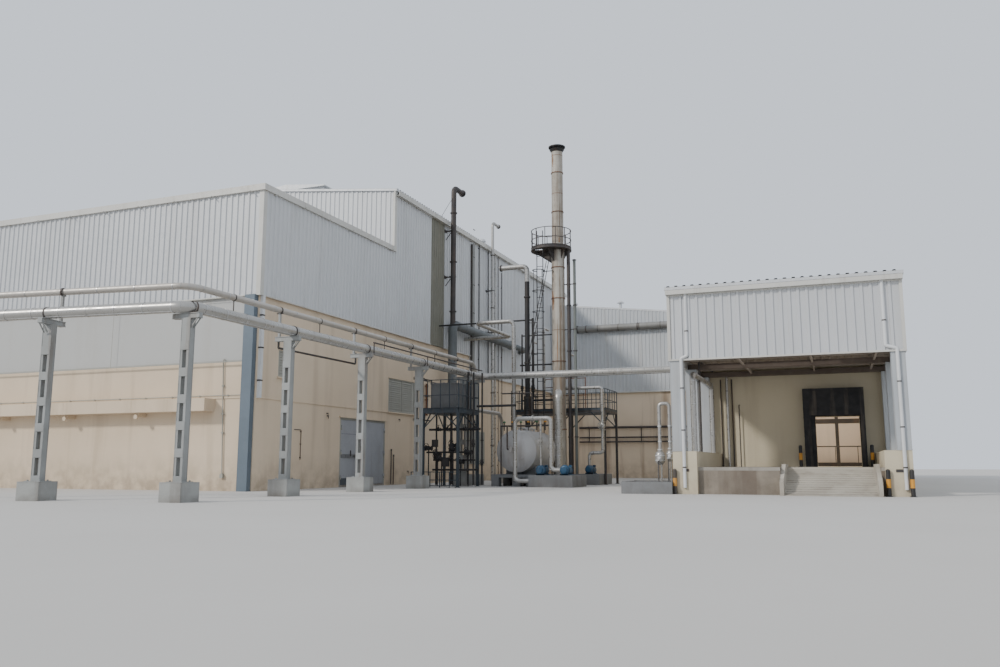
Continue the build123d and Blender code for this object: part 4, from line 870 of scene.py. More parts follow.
    def roofs(self) -> None:
        """Lays the roof sheets of the hall, the wing and the dock."""
        piece = Workpiece()
        half = self.width / 2
        ridge = (-half, self.roof_start, self.under(half) + self.roof_thick)
        for reach in (self.roof_reach, -self.roof_reach):
            down = Vector((reach, 0, -self.roof_reach * self.slope))
            self.roof_sheet(piece, ridge, NORTH, down, self.roof_end - self.roof_start)
        x, y, reach, length = self.wing_roof
        top = self.wing_eave + self.roof_thick - self.wing_roof_drop
        self.roof_sheet(piece, (x, y, top), NORTH, Vector((reach, 0, -reach * self.wing_slope)), length)
        x, y, reach, length = self.dock_roof
        rise = self.dock_slope * reach
        top = self.dock_roof_level + rise + self.roof_thick
        self.roof_sheet(piece, (x, y, top), EAST, Vector((0, -reach, -rise)), length)
        piece.lay("roof_ribs", ROOFING, "roof_sheet")

    def build(self) -> None:
        """Dresses the flat sheets and lays the ribbed ones."""
        dress(self.frame, CLADDING, "cladding_east", "cladding_front", "cladding_gable", "rear_cladding",
              "dock_fascia")
        dress(self.frame, WING_SHEET, "wing_cladding_front")
        dress(self.frame, STRIP, "light_strip")
        dress(self.frame, ROOFING, "hall_roof", "front_block_roof", "wing_roof", "dock_roof",
              "roof_ventilators")
        self.hall()
        self.wing()
        self.dock()
        self.roofs()


@dataclass
class Shell:
    """Plaster, panels, trims, openings and doors of the buildings."""

    frame: dict
    folds: tuple[Box, ...] = (
        ((0.035, -0.062, 4.15), (0.066, 0.05, 6.46)), ((-0.05, -0.066, 4.15), (0.062, -0.035, 6.46)),
        ((0.035, 5.8, 6.6), (0.066, 5.93, 8.24)), ((-0.02, 5.845, 6.6), (0.064, 5.875, 8.24)),
        ((0.03, 0.0, 4.135), (0.07, 8.2, 4.16)), ((0.03, 9.15, 4.135), (0.07, 11.25, 4.16)),
        ((0.03, 11.25, 3.565), (0.07, 19.9, 3.59)), ((-10.0, -0.07, 4.135), (0.07, -0.03, 4.16)),
        ((0.06, 19.92, 3.48), (12.66, 19.97, 3.53)))

    def build(self) -> None:
        """Dresses the masonry and adds the pale folded trims at the sheets' corners and lower edges."""
        for finish, nodes in (
                (PLASTER, ("wall_east_south", "wall_over_door", "wall_east_north", "wall_front", "rear_walls",
                           "wall_ledges")),
                (WING_PLASTER, ("wing_wall_front",)), (DOCK_PLASTER, ("dock_walls", "dock_link")),
                (PANEL, ("panels_front",)), (TRIM, ("eave_gutters",)), (POST_SHEET, ("dock_frames",)),
                (WHITE_PIPE, ("white_downpipes",)), (COLUMN, ("corner_column",)),
                (LOUVRE, ("louvred_windows", "door_frames")), (DOOR, ("door_leaf_left", "door_leaf_right")),
                (CONCRETE, ("hall_floor",)), (DOCK_CONCRETE, ("dock_platform",)),
                (RAMP_CONCRETE, ("dock_ramp",)), (GREY_CONCRETE, ("concrete_plinths", "tank_slab")),
                (PEDESTAL, ("rack_pedestals",)), (CURTAIN, ("dock_shelter",)), (AMBER, ("dock_bollards",))):
            dress(self.frame, finish, *nodes)
        trim = Workpiece()
        trim.boxes(self.folds)
        trim.lay("wall_flashings", TRIM, "trim")


@dataclass
class Plant:
    """Stack, tank, pumps, platforms and pipes of the yard."""

    frame: dict

    def build(self) -> None:
        """Dresses the plant's nodes."""
        for finish, nodes in (
                (STACK_PAINT, ("stack_shell",)), (BLACK_STEEL, ("stack_cap", "stack_ladder", "ladder_cage")),
                (BEAM_STEEL, ("dock_beams",)),
                (DARK_STEEL, ("stack_landing", "side_risers", "vent_pipes", "rear_walkway", "wing_pipes")),
                (BLUE_STEEL, ("service_platform", "yard_railings")), (HOUSING_GREY, ("platform_housing",)),
                (TANK_PAINT, ("tank_shell", "tank_heads")), (PUMP_BLUE, ("pumps",)),
                (DUCT_GREY, ("branch_duct",)),
                (SILVER, ("insulated_pipes", "condensate_vessels", "rack_lower_pipe")),
                (BEIGE_JACKET, ("rack_upper_pipe",)), (RACK_STEEL, ("rack_posts",))):
            dress(self.frame, finish, *nodes)


RACK_FOOT = (2.2, -4.55, 0.0)
WEST_TURN = math.radians(188)
WEST_OUT = Vector((math.cos(WEST_TURN), math.sin(WEST_TURN), 0))
WEST_SIDE = Vector((-math.sin(WEST_TURN), math.cos(WEST_TURN), 0))
BENT = 0.3
# Levels of the rack's two long pipes
LOW_PIPE = 2.9425
HIGH_PIPE = 3.35


def west(run: float, aside: float, z: float) -> Point:
    """Gives a point beside the rack's west run.

    Args:
        run: The distance from the corner post.
        aside: The distance to the run's outer side.
        z: The height.

    Returns:
        The point.
    """
    place = Vector(RACK_FOOT) + WEST_OUT * run + WEST_SIDE * aside
    return (place.x, place.y, z)


@dataclass
class Pipework:
    """Bands, elbow seams, flanges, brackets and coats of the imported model's pipes."""

    rack_low: Run = Run((west(5.3, 0.075, LOW_PIPE), (2.275, -4.625, LOW_PIPE), (2.275, 6.85, LOW_PIPE),
                         (8.0, 6.85, LOW_PIPE), (8.0, 6.85, 0.2)), 0.0925, BENT, 0.5)
    rack_high: Run = Run((west(5.3, -0.225, HIGH_PIPE), (1.975, -4.325, HIGH_PIPE), (1.975, 7.15, HIGH_PIPE),
                          (1.975, 7.15, 2.05), (1.975, 9.2, 2.05), (1.975, 9.2, 0.0)), 0.055, BENT, 0.65)
    steam: Run = Run(((2.86, 7.9, 0.0), (2.86, 7.9, 4.64), (1.69, 7.9, 4.64), (1.69, 10.7, 4.64),
                      (0.05, 10.7, 4.64)), 0.06, 0.156, 0.5)
    flue: Run = Run(((4.7, 6.25, 0.29), (4.7, 6.25, 2.4), (4.18, 8.0, 2.4)), 0.095, 0.19, 0.5)
    manifold: Run = Run(((3.877, 5.25, 0.15), (3.877, 5.25, 1.68), (4.819, 5.25, 1.68),
                         (4.819, 5.25, 0.415)), 0.055, 0.11, 0.4)
    pump_line: Run = Run(((4.99, 8.12, 0.55), (4.99, 8.12, 0.865), (5.375, 8.12, 0.865), (5.375, 8.12, 2.66),
                          (4.35, 8.12, 2.66)), 0.045, 0.09, 0.45)
    dock_pipe: Run = Run(((8.73, 2.4, 0.8), (8.73, 2.4, 2.34), (8.73, 5.1, 2.34), (8.73, 5.1, 0.8)), 0.055,
                         0.11, 0.45)
    duct: Run = Run(((0.05, 9.2, 2.9), (0.33, 9.2, 2.9), (0.33, 9.2, 4.89), (0.33, 14.3, 4.89)), 0.14, 0.196,
                    0.6)
    duct_tail: Run = Run(((0.33, 14.31, 4.89), (0.33, 16.0, 4.89), (0.05, 16.0, 4.89)), 0.1, 0.2, 0.6)
    near_vent: Run = Run(((0.33, 9.2, 5.04), (0.33, 9.2, 9.35), (0.33, 9.9, 9.35)), 0.085, 0.187, 1.1)
    middle_vent: Run = Run(((0.3, 12.6, 0.05), (0.3, 12.6, 9.1), (0.3, 13.2, 9.1)), 0.0525, 0.147, 1.4)
    far_vent: Run = Run(((3.29, 7.85, 0.0), (3.29, 7.85, 6.21), (2.45, 7.85, 6.21)), 0.07, 0.14, 1.2)
    wing_duct: Run = Run(((1.3, 19.79, 6.225), (8.4, 19.79, 6.225)), 0.14, 0.0, 0.9)
    wing_lines: tuple[tuple[float, float], ...] = ((2.06, 0.045), (1.65, 0.03), (1.47, 0.03))
    wing_hangers: tuple[float, ...] = (1.7, 3.9, 6.1, 8.0)
    wing_joints: tuple[float, ...] = (2.9, 5.1, 7.2)
    skin: float = 0.0012

    def silver(self) -> None:
        """Adds the insulation jackets' bands and seams."""
        bands = Workpiece()
        for run in (self.rack_low, self.rack_high, self.steam, self.flue, self.manifold, self.pump_line,
                    self.dock_pipe):
            run.bands(bands)
            run.elbows(bands)
        for start, end in self.rack_low.straights():
            along = (end - start).normalized()
            if abs(along.z) > 0.5:
                continue
            below = (along.cross(UP) * 0.6 - UP * 0.8).normalized() * (self.rack_low.radius + 0.001)
            bands.bar(start + below, end + below, 0.007)
        bands.lay("jacket_bands", JACKET_BAND, "insulation")

    def grey(self) -> None:
        """Adds the seams of the branch duct and of the duct and lines under the wing's eave."""
        seams = Workpiece()
        for run in (self.duct, self.duct_tail):
            run.bands(seams, 0.02, 0.005)
            run.elbows(seams, 0.004, 5)
        for place, axis, radius, rise in (((0.33, 14.3, 4.89), NORTH, 0.12, 0.045),
                                          ((0.05, 9.2, 2.9), EAST, 0.14, 0.035),
                                          ((0.05, 16.0, 4.89), EAST, 0.1, 0.035)):
            seams.flange(place, axis, radius, rise)
        seams.lay("duct_seams", DUCT_GREY, "grey_duct")
        dark = Workpiece()
        radius = self.wing_duct.radius
        y, level = self.wing_duct.route[0][1:]
        self.wing_duct.bands(dark, 0.025, 0.006)
        for x in (1.315, 8.385):
            dark.flange((x, y, level), EAST, radius, 0.03)
        for x in self.wing_hangers:
            dark.ring((x, y, level), EAST, radius, 0.04, 0.012)
            for z, r in self.wing_lines:
                dark.ring((x, 19.9, z), EAST, r, 0.03, 0.008)
        for x in self.wing_joints:
            for z, r in self.wing_lines:
                dark.flange((x, 19.9, z), EAST, r, 0.02, 0.01)
        dark.lay("wing_pipe_fittings", DARK_STEEL, "dark_steel")

    def vents(self) -> None:
        """Adds the vents' flanges, couplings, clamps and stays."""
        piece = Workpiece()
        near, middle, far = self.near_vent, self.middle_vent, self.far_vent
        for run in (near, middle, far):
            run.elbows(piece)
        for run, rise, thick, levels in ((near, 0.028, 0.014, (5.3, 6.9, 8.5)),
                                         (middle, 0.022, 0.011, (1.2, 3.0, 6.0, 7.9)),
                                         (far, 0.025, 0.014, (1.1, 3.4, 5.3))):
            for z in levels:
                piece.flange(run.at(z), UP, run.radius, rise, thick)
        piece.flange((0.33, 9.86, 9.35), NORTH, near.radius, 0.035)
        piece.flange((0.3, 13.16, 9.1), NORTH, middle.radius, 0.026)
        piece.flange((2.49, 7.85, 6.21), EAST, far.radius, 0.03)
        for z in (6.42, 7.92):
            piece.ring(near.at(z), UP, near.radius, 0.035, 0.01)
            piece.box((0.052, 9.13, z - 0.05), (0.066, 9.27, z + 0.05))
            piece.bar((0.06, 9.2, z - 0.28), (0.27, 9.2, z - 0.02), 0.018)
        for z in (5.12, 6.62):
            piece.ring(middle.at(z), UP, middle.radius, 0.03, 0.009)
            piece.box((0.052, 12.54, z - 0.04), (0.064, 12.66, z + 0.04))
        for sign in (-1, 1):
            piece.bar((0.05, 9.2 + sign * 0.45, 8.2), (0.33, 9.2 + sign * 0.07, 9.0), 0.014, 6)
        for z in (1.93, 2.4):
            piece.ring(far.at(z), UP, 0.105, 0.03, 0.012)
        for k in range(9):
            z = 0.75 + 0.97 * k
            piece.box((0.128, 11.245, z), (0.134, 11.405, z + 0.03))
        piece.lay("vent_fittings", DARK_STEEL, "dark_steel")

    def sleeves(self) -> None:
        """Wraps the pipes whose coat differs from their node's."""
        middle, far = self.middle_vent, self.far_vent
        around_middle, around_far = middle.radius + self.skin, far.radius + self.skin
        silver = Workpiece()
        silver.tube([middle.at(5.04), middle.at(9.1), (0.3, 13.199, 9.1)], around_middle, middle.bend, 24)
        silver.tube([middle.at(0.0), middle.at(4.74)], around_middle, 0.0, 24)
        silver.tube([far.at(5.75), far.at(6.21), (2.451, 7.85, 6.21)], around_far, far.bend, 24)
        silver.lay("silver_sleeves", SILVER, "insulation")
        black = Workpiece()
        black.tube([far.at(2.45), far.at(5.75)], around_far, 0.0, 24)
        black.tube([far.at(0.0), far.at(1.88)], around_far, 0.0, 24)
        black.turn(far.at(1.88), UP, [(0.07, -0.001), (0.1062, -0.001), (0.1062, 0.571), (0.07, 0.571)], 28)
        black.turn((4.18, 8.0, 9.709), UP, [(0.03, -0.001), (0.2462, -0.001), (0.2462, 0.0295),
                                            (0.03, 0.0305)], 36)
        black.lay("black_sleeves", BLACK_STEEL, "dark_steel")
        riser = Workpiece()
        riser.tube([(4.665, 8.0, 0.29), (4.665, 8.0, 6.299)], 0.04 + self.skin, 0.0, 20)
        riser.turn((4.665, 8.0, 6.299), UP, [(0.0412, 0.0), (0.03, 0.028), (0.006, 0.036)], 20)
        riser.lay("riser_sleeve", RISER_GREEN, "dark_steel")
        grey = Workpiece()
        grey.tube([(1.3001, 19.79, 6.225), (8.3999, 19.79, 6.225)], 0.14 + self.skin, 0.0, 32)
        grey.box((0.1005, 11.2488, 0.6), (0.1312, 11.4012, 7.999))
        grey.lay("grey_sleeves", DUCT_SHEET, "dark_steel")

    def build(self) -> None:
        """Adds every fitting."""
        self.silver()
        self.grey()
        self.vents()
        self.sleeves()


@dataclass
class Rack:
    """Angles, base plates, hangers and small lines of the pipe rack."""

    posts: int = 5
    post_pitch: float = 2.6
    west_pitch: float = 2.5
    top: float = 2.77
    head: float = 2.85
    pedestal: float = 0.29
    stone_half: float = 0.196
    batten: float = 0.13
    batten_pitch: float = 0.405
    low_aside: float = 0.075
    high_aside: float = 0.225
    hangers: tuple[float, ...] = (-3.25, -0.65, 1.95, 4.55)
    line_posts: tuple[float, ...] = (0.72, 3.25, 5.85)

    def stations(self) -> list[tuple[Vector, Vector]]:
        """Lists the posts' feet and the direction that each crosshead points in.

        Returns:
            Pairs of foot and direction.
        """
        x, y, z = RACK_FOOT
        found = [(Vector((x, y + self.post_pitch * i, z)), EAST) for i in range(self.posts)]
        return found + [(Vector(west(self.west_pitch * i, 0.0, 0.0)), WEST_SIDE) for i in (1, 2)]

    def post(self, steel: Workpiece, foot: Vector, out: Vector, along: Vector) -> None:
        """Adds a post's base plate with its bolts, its battens and its corner angles.

        Args:
            steel: The workpiece to add to.
            foot: The post's foot.
            out: The direction of its wide side.
            along: The direction of its narrow side.
        """
        corners = [(sx, sy) for sx in (-1, 1) for sy in (-1, 1)]
        for sx, sy in corners:
            place = foot + out * (sx * 0.11) + along * (sy * 0.085) + UP * (self.pedestal + 0.012)
            steel.turn(place - UP * 0.002, UP, [(0.014, 0.0), (0.014, 0.018), (0.008, 0.022)], 6)
        plate = [foot + UP * self.pedestal + out * wide + along * deep
                 for wide, deep in ((-0.15, -0.12), (0.15, -0.12), (0.15, 0.12), (-0.15, 0.12))]
        steel.prism(plate if out.cross(along).z > 0 else plate[::-1], UP * 0.013)
        for k in range(6):
            z = self.pedestal + (0.095 - self.batten + self.batten_pitch * k if k else 0.012)
            top = min(z + (self.batten if k else 0.082), self.top)
            for sy in (-1, 1):
                self.slab(steel, foot + along * (sy * 0.055), out, along * sy, 0.076, z, top, 0.006)
        for sx, sy in corners:
            edge = foot + out * (sx * 0.08) + along * (sy * 0.055)
            steel.bar(edge + UP * 0.3, edge + UP * self.top, 0.008)

    def crosshead(self, steel: Workpiece, foot: Vector, head: Vector, across: Vector, back: float) -> None:
        """Adds the flanges of a crosshead's channel and its two braces.

        Args:
            steel: The workpiece to add to.
            foot: The post's foot.
            head: The direction that the crosshead points in.
            across: The direction of the pipes.
            back: How far the crosshead reaches behind the post.
        """
        for sy in (-1, 1):
            low = foot + across * (sy * 0.045)
            start = low - head * back + UP * (self.top + 0.004)
            end = low + head * 0.227 + UP * (self.top + 0.004)
            for rise in (0.0, 0.072):
                steel.bar(start + UP * rise, end + UP * rise, 0.012)
            steel.bar(foot + head * 0.2 + across * (sy * 0.03) + UP * self.top,
                      foot + head * 0.085 + across * (sy * 0.03) + UP * (self.top - 0.14), 0.016)

    def seats(self, small: Workpiece, foot: Vector, head: Vector, across: Vector, upper: bool) -> None:
        """Adds the lower pipe's seat and clamp and, where it passes, the upper pipe's.

        Args:
            small: The workpiece to add to.
            foot: The post's foot.
            head: The direction that the crosshead points in.
            across: The direction of the pipes.
            upper: Whether the upper pipe passes the post.
        """
        low = foot + head * self.low_aside
        self.slab(small, low - across * 0.03, head, across, 0.05, self.head, self.head + 0.02, 0.06)
        small.ring(low + UP * LOW_PIPE, across, 0.0925, 0.03, 0.008)
        if upper:
            small.ring(foot - head * self.high_aside + UP * HIGH_PIPE, across, 0.055, 0.03, 0.008)
            small.bar(foot - head * 0.29 + UP * 3.29, foot - head * 0.16 + UP * 3.29, 0.02)

    def lines(self, small: Workpiece) -> None:
        """Adds the upper pipe's hangers and the small lines along the rack."""
        for y in self.hangers:
            small.bar((1.975, y, 3.3), (1.975, y, 3.04), 0.014)
            small.bar((1.975, y, 3.04), (2.275, y, 3.04), 0.014)
            small.ring((1.975, y, HIGH_PIPE), NORTH, 0.055, 0.02, 0.006)
        small.tube([(1.93, -1.9, 2.66), (1.93, 0.8, 2.66), (1.93, 0.8, 2.9)], 0.02, 0.04, 12)
        small.tube([(1.93, -1.9, 2.66), (1.93, -1.9, 2.9)], 0.02, 0.0, 12)
        small.tube([(2.42, 0.7, 3.08), (2.42, 6.6, 3.08)], 0.016, 0.0, 10)
        for y in self.line_posts:
            small.bar((2.42, y, 2.85), (2.42, y, 3.08), 0.016)

    def build(self) -> None:
        """Adds the steelwork, the hangers and the pedestals' edges."""
        steel, small, stone = Workpiece(), Workpiece(), Workpiece()
        for index, (foot, head) in enumerate(self.stations()):
            across = UP.cross(head)
            out, along = (head, across) if index < self.posts else (across, head)
            self.post(steel, foot, out, along)
            self.crosshead(steel, foot, head, across, 0.285 if index > 0 else 0.236)
            self.seats(small, foot, head, across, index > 0)
            cap = foot + UP * (self.pedestal - 0.002)
            reach = self.stone_half
            for sign in (-1, 1):
                for wide, long in ((out, along), (along, out)):
                    start = cap + wide * (sign * reach) - long * reach
                    stone.bar(start, start + long * (2 * reach), 0.012)
        self.lines(small)
        steel.lay("rack_angles", RACK_STEEL, "column")
        small.lay("rack_hangers", DARK_STEEL, "dark_steel")
        stone.lay("pedestal_edges", PEDESTAL, "concrete")

    def slab(self, piece: Workpiece, place: Vector, out: Vector, normal: Vector, half: float, low: float,
             high: float, thick: float) -> None:
        """Adds an upright plate on a post's face.

        Args:
            piece: The workpiece to add to.
            place: The middle of the face, at any height.
            out: The direction of the plate's width.
            normal: The direction of its thickness.
            half: Half of its width.
            low: Its lower edge.
            high: Its upper edge.
            thick: Its thickness.
        """
        base = Vector((place.x, place.y, low))
        outline = [base - out * half, base + out * half, base + out * half + normal * thick,
                   base - out * half + normal * thick]
        if out.cross(normal).z < 0:
            outline = outline[::-1]
        piece.prism(outline, UP * (high - low))


@dataclass
class WallDetails:
    """Conduits, brackets, sills, louvre blades and door fittings on the hall's walls."""

    windows: tuple[tuple[float, ...], ...] = ((0.76, 1.1, 2.46, 3.05), (5.75, 7.325, 1.975, 2.9))
    panes: tuple[tuple[float, ...], ...] = ((0.795, 1.065, 2.495, 3.015), (5.785, 6.52, 2.01, 2.865),
                                            (6.555, 7.29, 2.01, 2.865))
    blade: float = 0.055
    slat: float = 0.095
    frame_edge: float = 0.035

    def front(self) -> None:
        """Adds the hooked conduit, the line on the string course and the joints of panels and ledge."""
        piece = Workpiece()
        piece.tube([(-0.74, -0.03, 0.31), (-0.84, -0.03, 2.7), (-0.84, -0.03, 2.79), (-0.8, -0.03, 2.79),
                    (-0.8, -0.03, 2.75)], 0.012, 0.03, 12)
        for z in (0.33, 1.2, 1.6, 2.2):
            x = -0.74 - 0.1 * (z - 0.31) / 2.39
            piece.box((x - 0.024, -0.045, z), (x + 0.024, -0.002, z + 0.035))
        piece.box((-0.775, -0.06, 0.27), (-0.7, -0.002, 0.35))
        piece.tube([(-9.9, -0.032, 2.01), (-0.29, -0.032, 2.01)], 0.009, 0.0, 8)
        for k in range(13):
            x = 0.75 * k
            piece.box((-9.7 + x, -0.04, 1.995), (-9.68 + x, -0.002, 2.025))
        piece.lay("front_conduits", LOUVRE, "louvre")
        joints = Workpiece()
        for x in (-1.95, -3.95, -5.95, -7.95):
            joints.box((x - 0.006, -0.103, 2.73), (x + 0.006, -0.0995, 4.14))
        for z in (2.735, 4.12):
            joints.box((-9.69, -0.104, z), (-0.28, -0.0995, z + 0.012))
        joints.box((-9.69, -0.11, 2.712), (-0.285, -0.096, 2.727))
        joints.lay("panel_joints", LOUVRE, "panel")
        ledge = Workpiece()
        for x in (-2.9, -5.0, -7.1, -9.2):
            ledge.turn((x - 0.045, -0.285, 1.585), NORTH, [(0.05, 0.0), (0.05, 0.05), (0.02, 0.06)], 16)
        for k in range(9):
            x = -1.04 - k
            ledge.box((x - 0.004, -0.3325, 1.675), (x + 0.004, -0.3295, 1.945))
        ledge.lay("ledge_joints", PLASTER, "plaster")

    def conduits(self) -> None:
        """Adds the conduits, stubs, anchors and dark wall lines of the long side."""
        piece = Workpiece()
        piece.tube([(0.02, 1.42, 1.33), (0.02, 1.68, 1.33), (0.02, 1.68, 0.66)], 0.008, 0.02, 8)
        for z in (0.7, 1.0, 1.28):
            piece.box((0.001, 1.665, z), (0.03, 1.695, z + 0.018))
        for y, low, high in ((5.92, 0.02, 0.93), (6.06, 0.02, 0.78)):
            piece.tube([(0.03, y, low), (0.03, y, high)], 0.014, 0.0, 10)
            piece.turn((0.03, y, high - 0.02), UP, [(0.02, 0.0), (0.02, 0.05), (0.008, 0.06)], 10)
        for y, z in ((2.72, 1.75), (2.74, 1.69), (6.35, 1.78), (9.6, 1.6), (6.9, 0.35)):
            piece.box((0.001, y, z), (0.045, y + 0.03, z + 0.025))
            piece.bar((0.04, y + 0.015, z + 0.012), (0.04, y + 0.015, z - 0.05), 0.012)
        for y, low, high in ((11.9, 3.7, 8.1), (12.73, 3.7, 8.08), (13.69, 0.1, 8.15), (14.05, 0.1, 7.6),
                             (16.8, 3.7, 7.4)):
            piece.tube([(0.085, y, low), (0.085, y, high)], 0.014, 0.0, 10)
            level = low + 0.4
            while level < high:
                piece.box((0.042, y - 0.022, level), (0.09, y + 0.022, level + 0.02))
                level += 1.3
        piece.lay("side_conduits", DARK_STEEL, "dark_steel")

    def pipes(self) -> None:
        """Adds the thin silver pipe and the rusty stub of the long side, with their clips."""
        silver = Workpiece()
        silver.tube([(0.14, 13.25, 0.0), (0.14, 13.25, 8.0), (0.06, 13.25, 8.12)], 0.03, 0.06, 16)
        for k in range(6):
            place = (0.14, 13.25, 0.8 + 1.35 * k)
            silver.ring(place, UP, 0.03, 0.05, 0.007, 16)
            silver.bar((0.045, 13.25, place[2]), place, 0.014)
        silver.lay("thin_wall_pipe", SILVER, "insulation")
        rust = Workpiece()
        rust.tube([(0.06, 7.98, 1.98), (0.06, 7.98, 2.93)], 0.035, 0.0, 14)
        for z in (2.05, 2.45, 2.86):
            rust.ring((0.06, 7.98, z), UP, 0.035, 0.035, 0.01, 14)
            rust.box((0.001, 7.955, z - 0.01), (0.06, 8.005, z + 0.01))
        rust.lay("rusty_wall_pipe", RUST, "dark_steel")

    def openings(self) -> None:
        """Adds the grey wall panel, the sills and the corner rainwater pipe's clips."""
        panel = Workpiece()
        panel.box((0.001, 11.0, 0.56), (0.05, 12.5, 1.64))
        for y in (11.06, 11.74, 12.44):
            panel.box((0.049, y - 0.015, 0.56), (0.058, y + 0.015, 1.64))
        for z in (0.57, 1.62):
            panel.box((0.049, 11.0, z - 0.01), (0.057, 12.5, z + 0.01))
        for y in (11.35, 12.1):
            for k in range(8):
                z = 0.035 * k
                panel.box((0.05, y - 0.2, 1.3 + z), (0.058, y + 0.2, 1.315 + z))
        panel.lay("grey_wall_panel", LOUVRE, "louvre")
        sills = Workpiece()
        for y0, y1, z0, z1 in self.windows:
            sills.box((0.001, y0 - 0.04, z0 - 0.03), (0.045, y1 + 0.04, z0 - 0.001))
            sills.box((0.001, y0 - 0.025, z1 + 0.001), (0.02, y1 + 0.025, z1 + 0.018))
        sills.box((0.001, 3.3, 1.701), (0.035, 5.65, 1.73))
        sills.lay("sills", PLASTER, "plaster")
        clips = Workpiece()
        for z in (2.3, 3.0, 3.7):
            clips.box((-0.004, 0.0275, z), (0.079, 0.1275, z + 0.03))
        clips.lay("downpipe_clips", DARK_STEEL, "dark_steel")

    def left_leaf(self) -> None:
        """Adds the left leaf's seam, lock, screws, kick plate and latch bar."""
        left = Workpiece()
        left.box((-0.0065, 3.43, 1.3), (-0.003, 4.45, 1.306))
        left.turn((0.012, 4.33, 0.955), EAST, [(0.018, -0.02), (0.018, 0.006), (0.01, 0.012)], 14)
        left.box((-0.0065, 4.3, 0.9), (0.004, 4.36, 1.02))
        for z in (0.25, 0.83, 1.41):
            for y in (3.412, 3.432):
                left.turn((-0.006, y + 0.006, z + 0.03), EAST, [(0.005, 0.0), (0.005, 0.005), (0.002, 0.006)],
                          8)
        for y in (3.55, 3.8, 4.05, 4.35):
            for z in (0.09, 0.29):
                left.turn((-0.004, y, z), EAST, [(0.006, 0.0), (0.006, 0.004), (0.002, 0.005)], 8)
        left.bar((0.006, 3.86, 0.75), (0.006, 3.86, 0.9), 0.02)
        left.bar((0.006, 3.98, 0.76), (0.006, 4.3, 0.76), 0.018)
        left.lay("left_leaf_details", DARK_STEEL, "door", "door_leaf_left")
        kick = Workpiece()
        kick.box((-0.0065, 3.418, 0.058), (0.0, 4.466, 0.215))
        kick.bar((0.0, 3.418, 0.215), (0.0, 4.466, 0.215), 0.006)
        kick.lay("left_leaf_kick_plate", KICK_PLATE, "door", "door_leaf_left")
        latch = Workpiece()
        latch.box((-0.0065, 3.425, 0.71), (-0.001, 4.462, 0.8))
        for z in (0.71, 0.8):
            latch.bar((0.0, 3.425, z), (0.0, 4.462, z), 0.007)
        for y in (3.46, 3.7, 3.95, 4.2, 4.43):
            latch.turn((-0.001, y, 0.755), EAST, [(0.008, 0.0), (0.008, 0.004), (0.003, 0.006)], 8)
        latch.box((-0.001, 3.63, 0.722), (0.006, 3.74, 0.788))
        latch.lay("left_leaf_latch_bar", LATCH_BAR, "door", "door_leaf_left")

    def right_leaf(self) -> None:
        """Adds the right leaf's pressed ribs and its pull."""
        right = Workpiece()
        start, end, low, high = 4.485, 5.538, 0.062, 1.638
        folds = [(start, 0.0)]
        place = start + 0.04
        while place + 0.05 < end:
            folds += [(place, 0.0), (place + 0.006, 0.007), (place + 0.03, 0.007), (place + 0.036, 0.0)]
            place += 0.0655
        right.strip([(Vector((-0.0055 + rise, y, low)), Vector((-0.0055 + rise, y, high)))
                     for y, rise in (*folds, (end, 0.0))])
        right.lay("right_leaf_ribs", DOOR, "door", "door_leaf_right")
        pull = Workpiece()
        pull.tube([(-0.006, 4.53, 0.75), (0.028, 4.53, 0.75), (0.028, 4.53, 0.93), (-0.006, 4.53, 0.93)],
                  0.007, 0.012, 10)
        pull.lay("right_leaf_pull", DARK_STEEL, "door", "door_leaf_right")

    def louvres(self) -> None:
        """Adds the louvres' overlapping blades, rolled edges and upright bars."""
        piece = Workpiece()
        for y0, y1, z0, z1 in self.windows:
            tall = z1 - z0 - 2 * self.frame_edge
            count = int(tall / self.slat)
            for k in range(count):
                z = z0 + self.frame_edge + (k + 0.5) * (tall / count) - 0.024
                piece.bar((-0.012, y0 + 0.036, z), (-0.012, y1 - 0.036, z), 0.008, 6)
        piece.lay("louvre_edges", LOUVRE, "louvre")
        back = Workpiece()
        for y0, y1, z0, z1 in self.panes:
            count = int((z1 - z0) / self.blade)
            pitch = (z1 - z0) / count
            levels = [(x, z0 + k * pitch + rise) for k in range(count)
                      for x, rise in ((-0.004, 0.0), (-0.02, pitch - 0.002))]
            back.pleats([(Vector((x, y0, z)), Vector((x, y1, z))) for x, z in levels])
        back.lay("louvre_backs", LOUVRE, "louvre")
        bars = Workpiece()
        for y in (6.537, 7.18):
            bars.box((-0.02, y - 0.009, 1.985), (-0.001, y + 0.009, 2.89))
        bars.bar((0.002, 5.745, 1.97), (0.002, 7.33, 1.97), 0.014)
        bars.lay("louvre_bars", TRIM, "louvre")

    def gutters(self) -> None:
        """Adds the gutters' brackets along the eaves."""
        trim = Workpiece()
        for count, first, pitch, z in ((6, 0.3, 1.05, 6.44), (16, 6.1, 1.03, 8.09)):
            for k in range(count):
                y = first + pitch * k
                trim.box((0.035, y, z), (0.178, y + 0.02, z + 0.015))
        for k in range(10):
            x = -9.7 + 1.05 * k
            trim.box((x, -0.178, 6.44), (x + 0.02, -0.035, 6.455))
        trim.lay("gutter_brackets", TRIM, "trim")

    def build(self) -> None:
        """Adds every fitting of the walls."""
        self.front()
        self.conduits()
        self.pipes()
        self.openings()
        self.left_leaf()
        self.right_leaf()
        self.louvres()
        self.gutters()


